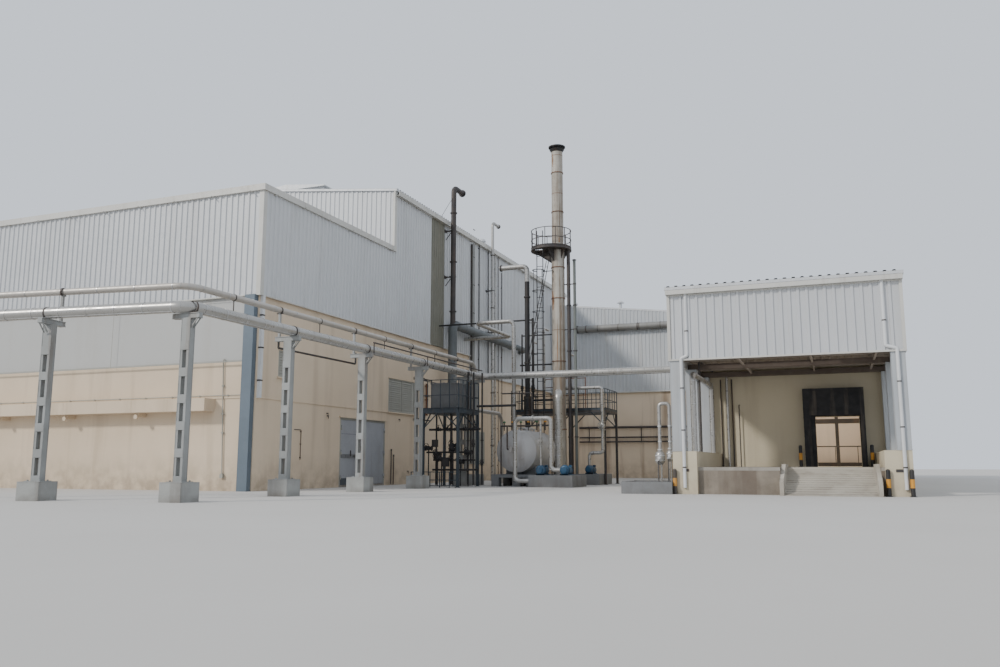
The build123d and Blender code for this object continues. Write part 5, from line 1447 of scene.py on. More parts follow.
@dataclass
class DockDetails:
    """Ceiling, trims, curtain, room view, bollard bands and edges of the dock."""

    left: float = 8.42
    right: float = 12.56
    front: float = 1.685
    back: float = 5.5
    soffit: float = 2.545
    ceiling_level: float = 2.73
    platform: float = 0.5
    low_wall: float = 0.8
    post: float = 0.24
    bollard: float = 0.036
    bollard_places: tuple[Point, ...] = ((8.456, 1.637, 0.0), (12.146, 1.637, 0.0), (12.524, 1.637, 0.0),
                                         (10.592, 5.204, 0.5), (12.038, 5.204, 0.5))
    band: float = 0.15

    def ceiling(self) -> None:
        """Adds the dark ribbed ceiling and its purlins."""
        piece = Workpiece()
        y0, y1 = self.front + 0.055, self.back - 0.005
        start, end = self.left + 0.055, self.right - 0.055
        level = self.ceiling_level
        folds = []
        place = start
        while place + 0.15 < end:
            folds += [(place, 0.0), (place + 0.1, 0.0), (place + 0.112, -0.02), (place + 0.138, -0.02)]
            place += 0.15
        piece.pleats([(Vector((x, y0, level + drop)), Vector((x, y1, level + drop + 0.02)))
                      for x, drop in (*folds, (end, 0.0))])
        for y in (2.35, 3.0, 4.25, 4.9):
            piece.box((start, y, level - 0.07), (end, y + 0.05, level - 0.005))
        for x in (9.6, 10.95, 12.1):
            piece.box((x, y0, level - 0.13), (x + 0.04, y1, level - 0.07))
        piece.lay("dock_ceiling", CEILING, "dark_steel")

    def trims(self) -> None:
        """Adds the fascia's trims, the corners' folds and the gutter's joints."""
        trim = Workpiece()
        left, right, front, back, low = self.left, self.right, self.front, self.back, self.soffit
        trim.box((left - 0.03, front - 0.03, low - 0.012), (right + 0.03, front + 0.004, low + 0.02))
        trim.box((left - 0.032, front - 0.032, 3.8), (right + 0.032, front - 0.001, 3.822))
        for x in (left, right):
            trim.box((x - 0.028, front - 0.028, low + 0.021), (x + 0.028, front + 0.05, 3.799))
            trim.box((x - 0.026, front + 0.051, low - 0.01), (x + 0.026, back, low + 0.018))
        for k in range(5):
            x = left + 0.4 + 0.85 * k
            trim.box((x, front - 0.114, 3.822), (x + 0.02, front, 3.84))
        trim.lay("dock_trims", TRIM, "trim")

    def posts(self) -> None:
        """Adds the seams and foot plates of the posts' sheet covers."""
        clad = Workpiece()
        low, high = self.low_wall, self.soffit
        for x in (self.left, self.right - self.post):
            for k in range(3):
                y = self.front + k * (self.back - self.front - self.post) / 2
                clad.boxes([((x, y - 0.004, low), (x + 0.006, y, high)),
                            ((x + 0.234, y - 0.004, low), (x + 0.24, y, high)),
                            ((x - 0.004, y + 0.115, low), (x, y + 0.125, high)),
                            ((x + 0.115, y - 0.003, low), (x + 0.125, y, high)),
                            ((x - 0.008, y - 0.008, low), (x + 0.248, y + 0.248, low + 0.015))])
        clad.lay("dock_post_seams", POST_SHEET, "trim")

    def pipes(self) -> None:
        """Adds the rainwater pipes' clips, the drain slots and the lines inside the dock."""
        dark = Workpiece()
        for x in (8.6, 12.28):
            dark.box((x, self.front - 0.008, 0.42), (x + 0.12, self.front - 0.0005, 0.47))
        for x, z in ((8.64, 1.2), (8.64, 2.0), (12.43, 1.2), (12.43, 2.0), (8.757, 3.1), (12.25, 3.1),
                     (8.64, 0.5), (12.43, 0.5)):
            dark.ring((x, 1.654, z), UP, 0.031, 0.022, 0.006, 16)
        for x in (8.9, 9.15):
            dark.tube([(x, self.back - 0.03, 0.5), (x, self.back - 0.03, 2.5)], 0.015, 0.0, 10)
        dark.tube([(8.75, 3.2, 0.8), (8.75, 3.2, 2.68), (8.75, 5.3, 2.68)], 0.02, 0.06, 12)
        dark.tube([(9.3, 5.42, 0.5), (9.3, 5.42, 1.9), (9.3, 5.49, 1.9)], 0.012, 0.03, 10)
        dark.lay("dock_clips", DARK_STEEL, "dark_steel")
        silver = Workpiece()
        silver.tube([(9.05, 5.38, 0.5), (9.05, 5.38, 2.62)], 0.03, 0.0, 14)
        for z in (0.9, 1.5, 2.1):
            silver.ring((9.05, 5.38, z), UP, 0.03, 0.03, 0.006, 14)
        silver.lay("dock_inner_pipe", SILVER, "insulation")

    def shelter(self) -> None:
        """Adds the shelter's padded frame and its header curtain of overlapping strips."""
        piece = Workpiece()
        x0, x1, y = 10.7, 11.93, 5.24
        piece.boxes([((x0 - 0.012, y - 0.03, 0.5), (x0 + 0.14, y, 2.2)),
                     ((x1 - 0.08, y - 0.03, 0.5), (x1 + 0.012, y, 2.2)),
                     ((x0 - 0.012, y - 0.035, 1.72), (x1 + 0.012, y, 2.212))])
        for k in range(9):
            x = x0 + 0.02 + k * 0.134
            piece.box((x, y - 0.048 - 0.004 * (k % 2), 1.62), (x + 0.13, y - 0.034, 2.16))
        for k in range(8):
            z = 0.2 * k
            piece.box((x0 - 0.016, y - 0.034, 0.56 + z), (x0 + 0.14, y - 0.028, 0.575 + z))
        piece.lay("shelter_curtain", CURTAIN, "curtain")

    def room(self) -> None:
        """Adds what shows through the doorway: a wall, a ceiling beam, a post, a rail and a rusty line."""
        wall = Workpiece()
        wall.box((8.55, 9.3, 0.52), (12.42, 9.34, 3.6))
        wall.lay("room_wall", ROOM_PLASTER, "plaster")
        piece = Workpiece()
        piece.boxes([((8.6, 8.2, 1.57), (12.38, 8.4, 1.68)), ((11.32, 7.9, 0.5), (11.4, 8.0, 2.6)),
                     ((8.6, 9.0, 0.5), (12.38, 9.25, 0.6))])
        piece.tube([(8.6, 7.4, 0.98), (12.38, 7.4, 0.98)], 0.014, 0.0, 10)
        for k in range(8):
            x = 8.8 + 0.5 * k
            piece.bar((x, 7.4, 0.5), (x, 7.4, 0.98), 0.016)
        piece.lay("room_steel", DARK_STEEL, "dark_steel")
        rust = Workpiece()
        rust.tube([(8.6, 9.2, 1.92), (12.38, 9.2, 1.92)], 0.02, 0.0, 12)
        rust.lay("room_line", RUST, "dark_steel")

    def bollards(self) -> None:
        """Paints the bollards in bands and rounds their tops."""
        black, amber = Workpiece(), Workpiece()
        r, band = self.bollard, self.band
        coat = [(r, 0.001), (r + 0.0015, 0.002), (r + 0.0015, band - 0.001), (r, band)]
        for x, y, z in self.bollard_places:
            for k, target in enumerate((black, amber, black)):
                target.turn((x, y, z + band * k), UP, coat)
            black.turn((x, y, z + 3 * band), UP, [(r, 0.0), (r * 0.86, 0.012), (r * 0.5, 0.02),
                                                  (0.004, 0.024)])
            black.turn((x, y, z), UP, [(r, 0.001), (0.062, 0.001), (0.062, 0.01), (r, 0.012)])
        black.lay("bollard_dark_bands", BLACK_BAND, "bollard")
        amber.lay("bollard_amber_bands", AMBER, "bollard")

    def edges(self) -> None:
        """Adds the platform's steel nosing, the ramp's joint and cleats and the kerbs' edges."""
        piece = Workpiece()
        for start, end in ((8.87, 10.35), (12.05, 12.11)):
            piece.box((start, 1.802, 0.44), (end, 1.812, 0.503))
        piece.box((10.42, 3.29, 0.495), (11.98, 3.31, 0.504))
        for x in (10.353, 12.047):
            piece.bar((x, 1.45, 0.251), (x, 2.4, 0.561), 0.008)
        for k in range(12):
            y = 1.55 + 0.14 * k
            z = 0.5 * (y - 1.45) / 1.85
            piece.box((10.44, y, z + 0.001), (11.96, y + 0.012, z + 0.007))
        piece.lay("dock_edges", CONCRETE, "concrete")

    def build(self) -> None:
        """Adds every fitting of the dock."""
        self.ceiling()
        self.trims()
        self.posts()
        self.pipes()
        self.shelter()
        self.room()
        self.bollards()
        self.edges()


@dataclass
class StackDetails:
    """Rust rings, stains, seams, stays, grating, risers' fittings and cage hoops of the stack."""

    x: float = 4.18
    y: float = 8.0
    lower: float = 0.185
    upper: float = 0.165
    flanges: tuple[tuple[float, float], ...] = ((1.512, 0.199), (3.412, 0.199), (5.212, 0.199),
                                                (6.112, 0.199),
                                                (7.755, 0.179), (8.93, 0.179))
    landing_x: float = 3.98
    landing_z: float = 6.65
    landing_radius: float = 0.58
    hatch: tuple[float, float] = (3.58, 3.82)
    cage_pitch: float = 0.6
    cage_radius: float = 0.168

    def at(self, radius: float, angle: float, z: float) -> Vector:
        """Gives a point beside the stack's axis."""
        return Vector((self.x + radius * math.cos(angle), self.y + radius * math.sin(angle), z))

    def rings(self) -> None:
        """Adds the rusty flanges with their bolts, the weld rings and the foot's ring."""
        rust = Workpiece()
        axis = (self.x, self.y)
        for z, r in self.flanges:
            rust.ring((*axis, z), UP, r, 0.02, 0.003, 32)
            rust.bolts((*axis, z + 0.012), UP, r - 0.006, 0.012, 0.012, 12)
        for r, levels in ((self.lower, (0.3, 2.45, 4.3)), (self.upper, (7.3, 8.3, 9.45))):
            for z in levels:
                rust.ring((*axis, z), UP, r, 0.012, 0.002, 32)
        rust.ring((*axis, 0.262), UP, self.lower, 0.02, 0.045, 32)
        rust.bolts((*axis, 0.272), UP, 0.212, 0.02, 0.022, 12)
        rust.lay("stack_rings", RUST, "stack_steel")

    def stains(self) -> None:
        """Adds the brown runs and the rust patches as thin ragged sheets round the shell."""
        soot, flecks = Workpiece(), Workpiece()
        draw = random.Random(41)
        for piece, r, centre, half, low, high, steps in (
                (soot, 0.1868, -58.0, 9.0, 0.3, 6.05, 40), (soot, 0.1868, -24.0, 5.0, 1.2, 5.9, 30),
                (soot, 0.1668, -50.0, 4.0, 6.7, 8.4, 16), (flecks, 0.1872, -128.0, 15.0, 4.86, 5.42, 8),
                (flecks, 0.1872, -84.0, 4.0, 3.2, 4.6, 12), (flecks, 0.1872, -42.0, 4.0, 4.3, 5.16, 9),
                (flecks, 0.1672, -122.0, 8.0, 9.1, 9.5, 6), (flecks, 0.1672, -60.0, 6.0, 6.68, 7.0, 6)):
            first = len(piece.verts)
            for k in range(steps + 1):
                taper = min(1.0, 0.25 + 1.6 * min(k, steps - k) / steps)
                for side in (-1, -0.33, 0.33, 1):
                    edge = half * taper * (1 + draw.uniform(-0.3, 0.3) * abs(side))
                    piece.verts.append(self.at(r, math.radians(centre + side * edge),
                                               low + (high - low) * k / steps))
            for a in range(first, first + 4 * steps, 4):
                piece.faces += [(a + j, a + j + 1, a + j + 5, a + j + 4) for j in range(3)]
        soot.lay("stack_soot_runs", SOOT_STAIN, "stack_steel")
        flecks.lay("stack_rust_patches", RUST_STAIN, "stack_steel")

    def stays(self) -> None:
        """Adds the slanting steel that leads from the landing down to the walkway."""
        stays = Workpiece()
        for shift in (0.0, 0.07):
            stays.bar((3.97 - shift, 7.79, 6.3), (3.42 - shift, 7.52, 3.1), 0.016)
        for k in range(9):
            t = (k + 0.5) / 9
            x, y, z = 3.97 - 0.55 * t, 7.79 - 0.27 * t, 6.3 - 3.2 * t
            stays.bar((x, y, z), (x - 0.07, y, z), 0.01)
        for x in (3.42, 3.35):
            stays.bar((x, 7.52, 3.1), (x, 7.52, 2.06), 0.016)
        stays.bar((3.3, 7.52, 2.07), (3.47, 7.52, 2.07), 0.02)
        stays.bar((3.385, 7.52, 2.07), (3.385, 8.36, 2.02), 0.02)
        stays.lay("stack_stays", BLACK_STEEL, "dark_steel")

    def seams(self) -> None:
        """Adds the upright seams of the shell's courses, two to a course."""
        seam = Workpiece()
        for low, high, r, angle in ((0.3, 1.5, self.lower, 0.4), (1.53, 3.4, self.lower, 1.9),
                                    (3.43, 5.2, self.lower, 0.9), (5.23, 6.1, self.lower, 2.6),
                                    (6.9, 7.74, self.upper, 0.2), (7.78, 8.91, self.upper, 1.4),
                                    (8.95, 9.55, self.upper, 2.2)):
            for a in (angle, angle + math.pi):
                seam.bar(self.at(r, a, low), self.at(r, a, high), 0.005)
        seam.lay("stack_seams", STACK_PAINT, "stack_steel")

    def bar_spans(self, y: float, reach: float = 0.556, hole: float = 0.2) -> list[tuple[float, float]]:
        """Lists the stretches of one grating bar, clear of the shell and the ladder's hatch.

        Args:
            y: The bar's place from the landing's middle line.
            reach: The grating's radius.
            hole: The radius kept free round the shell.

        Returns:
            Pairs of start and end.
        """
        half = math.sqrt(max(0.0, reach ** 2 - y ** 2))
        spans = [(self.landing_x - half, self.landing_x + half)]
        if abs(y) < hole:
            cut = math.sqrt(hole ** 2 - y ** 2)
            spans = [(spans[0][0], self.x - cut), (self.x + cut, spans[0][1])]
        if not -0.36 <= y <= -0.17:
            return spans
        clipped = []
        for a, b in spans:
            crossed = any(a < edge < b for edge in self.hatch)
            clipped += [(a, self.hatch[0] - 0.005), (self.hatch[1] + 0.005, b)] if crossed else [(a, b)]
        return clipped

    def landing(self) -> None:
        """Adds the grating's bars, the kick plate and the brackets' stiffeners."""
        piece = Workpiece()
        cx, z, radius = self.landing_x, self.landing_z, self.landing_radius
        for k in range(-15, 16):
            y = 0.036 * k
            for a, b in self.bar_spans(y):
                if b - a > 0.02:
                    piece.box((a, self.y + y - 0.003, z + 0.0005), (b, self.y + y + 0.003, z + 0.008))
        turns = [*angles(40), 2 * math.pi]
        inner, outer = radius - 0.016, radius - 0.008
        for a0, a1 in zip(turns, turns[1:]):
            line = [Vector((cx + r * math.cos(a), self.y + r * math.sin(a), z))
                    for r, a in ((inner, a0), (outer, a0), (outer, a1), (inner, a1))]
            piece.prism(line, UP * 0.055)
        piece.ring((cx, self.y, z - 0.015), UP, radius, 0.036, 0.006, 48)
        foot = Vector((self.x, self.y, z - 0.03))
        for angle, reach in ((180, 0.7), (250, 0.48), (110, 0.48), (40, 0.33), (320, 0.33)):
            out = spoke(EAST, NORTH, math.radians(angle))
            drop = Vector((0, 0, -0.33 if reach > 0.4 else -0.15))
            piece.bar(foot + out * 0.19 + drop, foot + out * (reach - 0.02), 0.022)
        piece.lay("landing_grating", DARK_STEEL, "dark_steel")

    def risers(self) -> None:
        """Adds caps, clamps and flanges to the side risers."""
        piece = Workpiece()
        for x, r, high in ((4.49, 0.052, 6.6), (4.665, 0.04, 6.3)):
            piece.turn((x, self.y, high), UP, [(r, -0.004), (r + 0.02, -0.004), (r + 0.02, 0.014),
                                               (r * 0.7, 0.03), (0.004, 0.034)], 20)
            for z in (2.95, 4.3, 5.6):
                piece.ring((x, self.y, z + 0.012), UP, r, 0.03, 0.009, 20)
            for z in (1.3, 3.7, 5.0):
                piece.flange((x, self.y, z), UP, r, 0.02, 0.01)
        piece.lay("riser_fittings", DARK_STEEL, "dark_steel")

    def cage(self) -> None:
        """Adds the hoops of the ladder's cage."""
        hoops = Workpiece()
        cy = 7.8 - 0.012 - 0.0003 - 0.17 * math.sin(math.radians(57))
        start, end = math.radians(123), math.radians(417)
        turns = [start + (end - start) * k / 28 for k in range(29)]
        r = self.cage_radius
        for i in range(7):
            z = 2.41 + self.cage_pitch * i
            hoops.tube([(3.7 + r * math.cos(a), cy + r * math.sin(a), z) for a in turns], 0.0075, 0.0, 8)
        hoops.lay("cage_hoops", BLACK_STEEL, "dark_steel")

    def build(self) -> None:
        """Adds the stack's fittings."""
        self.rings()
        self.stains()
        self.stays()
        self.seams()
        self.landing()
        self.risers()
        self.cage()


@dataclass
class YardDetails:
    """Fittings of the tank, the pumps, the platforms, the valves and the vessels."""

    tank_middle: tuple[float, float] = (3.7, 0.89)
    tank_radius: float = 0.54
    header: tuple[float, float] = (5.62, 1.52)
    pump_places: tuple[tuple[float, float], ...] = ((4.555, 5.25), (5.17, 5.25), (4.99, 8.12))
    pump_level: float = 0.415
    casing: float = 0.115
    motor: float = 0.095
    vessels: tuple[tuple[float, ...], ...] = ((8.11, 0.095, 0.68, 0.84), (8.31, 0.072, 0.72, 0.86))
    walkway: float = 2.062

    def tank(self) -> None:
        """Adds the tank's seams, nozzles, manhole and the saddles' plates."""
        (x, z), r = self.tank_middle, self.tank_radius
        seams = Workpiece()
        for y in (5.83, 6.38, 6.94, 7.49):
            seams.ring((x, y, z), NORTH, r, 0.012, 0.003, 48)
        seams.turn((x - 0.12, 5.66, 0.93), -NORTH, [(0.05, -0.06), (0.05, 0.02), (0.085, 0.02), (0.085, 0.04),
                                                    (0.02, 0.045)], 20)
        seams.bolts((x - 0.12, 5.62, 0.93), -NORTH, 0.067, 0.014, 0.01)
        seams.turn((x + 0.2, 5.69, 0.72), -NORTH, [(0.028, -0.06), (0.028, 0.03), (0.05, 0.03),
                                                   (0.05, 0.045)], 16)
        seams.turn((x, 6.66, z + r - 0.02), UP, [(0.13, 0.0), (0.13, 0.07), (0.165, 0.07), (0.165, 0.1),
                                                 (0.155, 0.105), (0.02, 0.105)], 28)
        seams.bolts((x, 6.66, z + r + 0.085), UP, 0.148, 0.018, 0.014, 12)
        for y in (6.05, 7.2):
            seams.turn((x, y, z + r - 0.01), UP, [(0.03, 0.0), (0.03, 0.06), (0.055, 0.06), (0.055, 0.08)],
                       16)
        seams.lay("tank_fittings", TANK_PAINT, "tank")
        plate = Workpiece()
        for y in (6.156, 7.044):
            for side in (-0.395, 0.395):
                plate.box((x + side - 0.012, y - 0.002, 0.3), (x + side + 0.012, y + 0.122, 0.6))
            plate.box((x - 0.42, y - 0.012, 0.3), (x + 0.42, y + 0.132, 0.315))
            plate.box((x - 0.012, y - 0.006, 0.3), (x + 0.012, y + 0.126, 0.35))
        plate.lay("saddle_plates", GREY_CONCRETE, "concrete")

    def headers(self) -> None:
        """Adds the header with its coloured valves before the tank and the brown rails behind it."""
        small, green, amber = Workpiece(), Workpiece(), Workpiece()
        y, z = self.header
        small.tube([(3.55, 5.63, 0.93), (3.55, 5.56, 0.93), (3.55, 5.56, z), (3.55, 5.9, z)], 0.02, 0.04, 12)
        small.tube([(3.35, y, z), (4.75, y, z)], 0.022, 0.0, 12)
        small.tube([(4.2, y, z), (4.2, y, 2.35), (3.4, y, 2.35)], 0.018, 0.04, 12)
        for k, x in enumerate((3.45, 3.68, 3.9, 4.1, 4.32, 4.55)):
            target = amber if k % 2 else green
            small.tube([(x, y, 1.4), (x, y, 1.6)], 0.014, 0.0, 10)
            target.turn((x, y, 1.6), UP, [(0.03, 0.0), (0.036, 0.012), (0.036, 0.03), (0.012, 0.04)], 16)
        small.bar((3.36, y, 0.3), (3.36, y, z), 0.024)
        small.bar((4.72, y, 0.29), (4.72, y, z), 0.024)
        small.lay("tank_header", DARK_STEEL, "dark_steel")
        green.lay("green_valve_heads", GREEN, "pump")
        amber.lay("amber_valve_heads", AMBER, "bollard")
        brown = Workpiece()
        for z in (2.55, 2.8, 3.05):
            brown.bar((3.35, 9.2, z), (4.6, 9.2, z), 0.02)
        for x in (3.35, 3.97, 4.6):
            brown.bar((x, 9.2, 2.06), (x, 9.2, 3.07), 0.022)
        brown.lay("brown_rails", RUST, "dark_steel")

    def pumps(self) -> None:
        """Adds flanges, ribs, feet, guards and terminal boxes to the pumps."""
        blue, dark = Workpiece(), Workpiece()
        z = self.pump_level
        for x, y in self.pump_places:
            blue.turn((x, y - 0.05, z), -NORTH, [(self.casing, -0.001), (0.1, 0.012), (0.05, 0.02),
                                                 (0.05, 0.06),
                                                 (0.075, 0.06), (0.075, 0.075), (0.02, 0.08)])
            blue.bolts((x, y - 0.125, z), -NORTH, 0.062, 0.013, 0.008, 6)
            blue.ring((x, y, z), NORTH, self.casing, 0.02, 0.012, 28)
            for angle in angles(12):
                if math.sin(angle) >= -0.6:
                    rib = Vector((x, y + 0.09, z - 0.01)) + spoke(EAST, UP, angle) * 0.094
                    blue.bar(rib, rib + NORTH * 0.2, 0.011)
            blue.turn((x, y + 0.32, z - 0.01), NORTH, [(self.motor, 0.0), (0.1, 0.004), (0.1, 0.02),
                                                       (0.07, 0.028)])
            blue.box((x + 0.05, y + 0.13, z + 0.07), (x + 0.12, y + 0.22, z + 0.12))
            for sx in (-0.095, 0.095):
                for dy in (-0.05, 0.28):
                    dark.turn((x + sx, y + dy, 0.32), UP, [(0.012, 0.0), (0.012, 0.012), (0.006, 0.016)], 6)
            dark.box((x - 0.11, y - 0.07, 0.292), (x + 0.11, y - 0.064, 0.318))
            dark.box((x - 0.035, y + 0.045, z - 0.035), (x + 0.035, y + 0.06, z + 0.12))
        blue.lay("pump_details", PUMP_BLUE, "pump")
        dark.lay("pump_bolts", DARK_STEEL, "dark_steel")

    def under_platform(self, dark: Workpiece) -> None:
        """Adds the valve group under the service platform."""
        for x, y, low, high in ((1.95, 4.75, 0.05, 1.82), (2.35, 4.75, 0.05, 1.82), (2.62, 5.2, 0.05, 2.9),
                                (2.1, 5.35, 0.05, 1.82), (2.9, 4.9, 0.05, 2.85), (3.05, 5.1, 0.05, 2.85)):
            dark.tube([(x, y, low), (x, y, high)], 0.022, 0.0, 12)
            dark.flange((x, y, 1.15), UP, 0.022, 0.018, 0.009)
        dark.tube([(1.75, 4.75, 1.42), (3.15, 4.75, 1.42)], 0.028, 0.0, 12)
        dark.tube([(1.85, 4.75, 0.42), (2.75, 4.75, 0.42), (2.75, 5.5, 0.42)], 0.024, 0.06, 12)
        dark.tube([(2.95, 5.0, 2.0), (4.0, 5.0, 2.0)], 0.03, 0.0, 12)
        for x in (2.0, 2.25, 2.5, 2.75, 3.0):
            dark.valve((x, 4.75, 1.42), EAST, 0.024, UP, 0.11)
        for place in ((1.95, 4.75, 0.85), (2.35, 4.75, 0.7), (2.1, 5.35, 0.9), (2.62, 5.2, 0.8),
                      (2.9, 4.9, 1.05),
                      (3.05, 5.1, 0.6)):
            dark.valve(place, UP, 0.026, Vector((0.25, -1, 0)))
        for x, y, z in ((1.86, 4.5, 0.95), (2.05, 4.62, 0.8), (2.22, 4.5, 0.68), (2.48, 4.6, 0.92),
                        (2.55, 4.9, 0.62), (1.82, 5.1, 0.72), (2.3, 5.0, 1.02), (2.85, 4.7, 0.85)):
            dark.valve((x, y, z), EAST, 0.034, Vector((0.1, -1, 0.3)), 0.2)
            dark.tube([(x, y, 0.02), (x, y, z)], 0.016, 0.0, 10)
        dark.tube([(1.78, 4.55, 0.85), (2.95, 4.55, 0.85)], 0.022, 0.0, 12)
        dark.tube([(1.8, 4.9, 0.66), (2.95, 4.9, 0.66)], 0.02, 0.0, 12)
        dark.box((2.28, 4.4, 0.5), (2.44, 4.48, 0.72))
        dark.box((1.98, 4.42, 0.98), (2.12, 4.5, 1.16))
        for z in (1.62, 2.62):
            dark.valve((2.0, 3.62, z), NORTH, 0.02, -EAST, 0.12)
        for z in (1.62, 2.62):
            dark.tube([(2.0, 3.45, z), (2.0, 4.3, z)], 0.016, 0.0, 10)
        for z in (1.62, 2.62):
            dark.bar((2.12, 3.7, z), (2.0, 3.7, z), 0.014)

    def on_walkway(self, dark: Workpiece) -> None:
        """Adds the upright lines that stand on the rear walkway and the rails that tie them."""
        for x, y, r, high in ((2.85, 8.62, 0.022, 4.35), (3.12, 8.8, 0.03, 4.85), (3.72, 9.05, 0.026, 4.35),
                              (4.02, 8.75, 0.02, 3.9)):
            dark.tube([(x, y, self.walkway), (x, y, high)], r, 0.0, 12)
            dark.flange((x, y, 2.075), UP, r, 0.02, 0.01)
            dark.flange((x, y, 3.2), UP, r, 0.018, 0.009)
            dark.valve((x, y, 2.75), UP, r + 0.004, Vector((0.3, -1, 0)), 0.14)
        dark.tube([(2.85, 8.62, 4.3), (3.9, 8.62, 4.3)], 0.02, 0.0, 12)
        dark.tube([(2.72, 8.8, 3.45), (4.1, 8.8, 3.45)], 0.024, 0.0, 12)
        dark.tube([(2.85, 8.62, 2.4), (4.02, 8.62, 2.4)], 0.022, 0.0, 12)
        dark.tube([(3.12, 8.8, 4.8), (0.03, 8.8, 4.8)], 0.024, 0.0, 12)

    def valves(self) -> None:
        """Adds the dark valves and lines and the fittings of the silver lines."""
        dark = Workpiece()
        self.under_platform(dark)
        self.on_walkway(dark)
        dark.lay("yard_valves", BLACK_STEEL, "dark_steel")
        silver = Workpiece()
        for x in (3.877, 4.819):
            silver.flange((x, 5.25, 0.95), UP, 0.055, 0.025)
        silver.flange((4.35, 5.25, 1.68), EAST, 0.055, 0.025)
        silver.valve((4.555, 5.25, 1.12), UP, 0.03, -NORTH, 0.15)
        silver.valve((5.375, 8.12, 1.6), UP, 0.045, -NORTH, 0.18)
        for place, radius, rise in (((5.375, 8.12, 2.2), 0.045, 0.022), ((8.0, 6.85, 1.3), 0.0925, 0.03),
                                    ((2.86, 7.9, 1.9), 0.06, 0.025)):
            silver.flange(place, UP, radius, rise)
        silver.valve((2.86, 7.9, 1.3), UP, 0.05, -NORTH, 0.2)
        for x, y, r, high in ((3.42, 8.95, 0.036, 4.55), (4.3, 8.62, 0.028, 3.7), (2.98, 9.2, 0.03, 4.2)):
            silver.tube([(x, y, self.walkway), (x, y, high), (x, y + 0.4, high)], r, 0.07, 14)
            silver.flange((x, y, 2.08), UP, r, 0.022, 0.01)
            silver.flange((x, y, 3.0), UP, r, 0.02)
        silver.lay("line_fittings", SILVER, "insulation")

    def platform(self, blue: Workpiece, low: tuple[float, float], high: tuple[float, float], z: float,
                 legs: tuple[float, ...]) -> None:
        """Adds a platform's kick plates, edge channels, grating bars and braces.

        Args:
            blue: The workpiece to add to.
            low: The platform's near corner.
            high: Its far corner.
            z: The floor's level.
            legs: Where the legs stand along the platform.
        """
        (x0, y0), (x1, y1) = low, high
        for y in (y0, y1 - 0.006):
            blue.box((x0, y, z), (x1, y + 0.006, z + 0.05))
        for x in (x0, x1 - 0.006):
            blue.box((x, y0, z), (x + 0.006, y1, z + 0.05))
        for y in (y0 - 0.004, y1):
            blue.box((x0, y, z - 0.07), (x1, y + 0.004, z - 0.06))
            blue.box((x0, y, z - 0.01), (x1, y + 0.004, z))
        for k in range(int((x1 - x0) / 0.05)):
            x = x0 + 0.02 + 0.05 * k
            blue.box((x, y0 + 0.01, z + 0.0005), (x + 0.006, y1 - 0.01, z + 0.007))
        for x in legs:
            for y, inward in ((y0 + 0.03, 0.38), (y1 - 0.03, -0.38)):
                foot = (x + 0.03, y, z - 0.45)
                blue.bar(foot, (x + 0.03, y + inward, z - 0.07), 0.024)
                side = 0.38 if x < x1 - 0.5 else -0.38
                blue.bar(foot, (x + 0.03 + side, y, z - 0.07), 0.024)
                blue.box((x - 0.02, y - 0.05, 0.0), (x + 0.08, y + 0.05, 0.01))

    def platforms(self) -> None:
        """Adds the fittings of the service platform, the rear walkway and the housing."""
        blue = Workpiece()
        self.platform(blue, (1.76, 4.3), (2.76, 5.6), 1.88, (1.76, 2.7))
        self.platform(blue, (2.6, 8.35), (5.4, 9.75), 2.06, (2.6, 4.0, 5.34))
        blue.lay("platform_braces", BLUE_STEEL, "blue_steel")
        shed = Workpiece()
        for k in range(9):
            x = 1.86 + 0.0125 + 0.084 * k
            shed.box((x, 4.592, 1.9), (x + 0.012, 4.6, 2.55))
            if k < 8:
                y = 4.62 + 0.1 * k
                shed.box((2.56, y, 1.9), (2.568, y + 0.012, 2.55))
        shed.box((1.84, 4.58, 2.555), (2.58, 5.47, 2.58))
        shed.box((1.852, 4.59, 1.881), (2.57, 4.6, 1.93))
        shed.lay("housing_ribs", HOUSING_GREY, "louvre")

    def tray(self) -> None:
        """Adds the vessels' seams and gauges, the drain lines and the tray's edges."""
        silver = Workpiece()
        y = 2.05
        for x, r, z, _ in self.vessels:
            for dz in (-0.045, 0.045):
                silver.ring((x, y, z + dz), UP, r, 0.012, 0.003)
            silver.turn((x, y - r + 0.01, z), -NORTH, [(0.016, 0.0), (0.016, 0.03), (0.028, 0.03),
                                                       (0.028, 0.042), (0.01, 0.045)], 14)
        for z in (1.0, 1.3):
            for x, *_ in self.vessels:
                silver.ring((x, y, z), UP, 0.033, 0.018, 0.006, 18)
        for x, _, _, joint in self.vessels:
            silver.flange((x, y, joint), UP, 0.033, 0.016, 0.008)
        silver.lay("vessel_fittings", WHITE_PIPE, "insulation")
        dark = Workpiece()
        dark.tube([(8.11, 1.95, 0.62), (8.11, 1.85, 0.62), (8.11, 1.85, 0.08), (7.6, 1.85, 0.08)], 0.011,
                  0.03, 10)
        dark.tube([(8.31, 1.98, 0.66), (8.31, 1.8, 0.66), (8.31, 1.8, 0.08)], 0.01, 0.03, 10)
        for y in (1.53, 2.57):
            dark.bar((7.46, y, 0.231), (8.41, y, 0.231), 0.008)
        dark.lay("tray_lines", DARK_STEEL, "dark_steel")

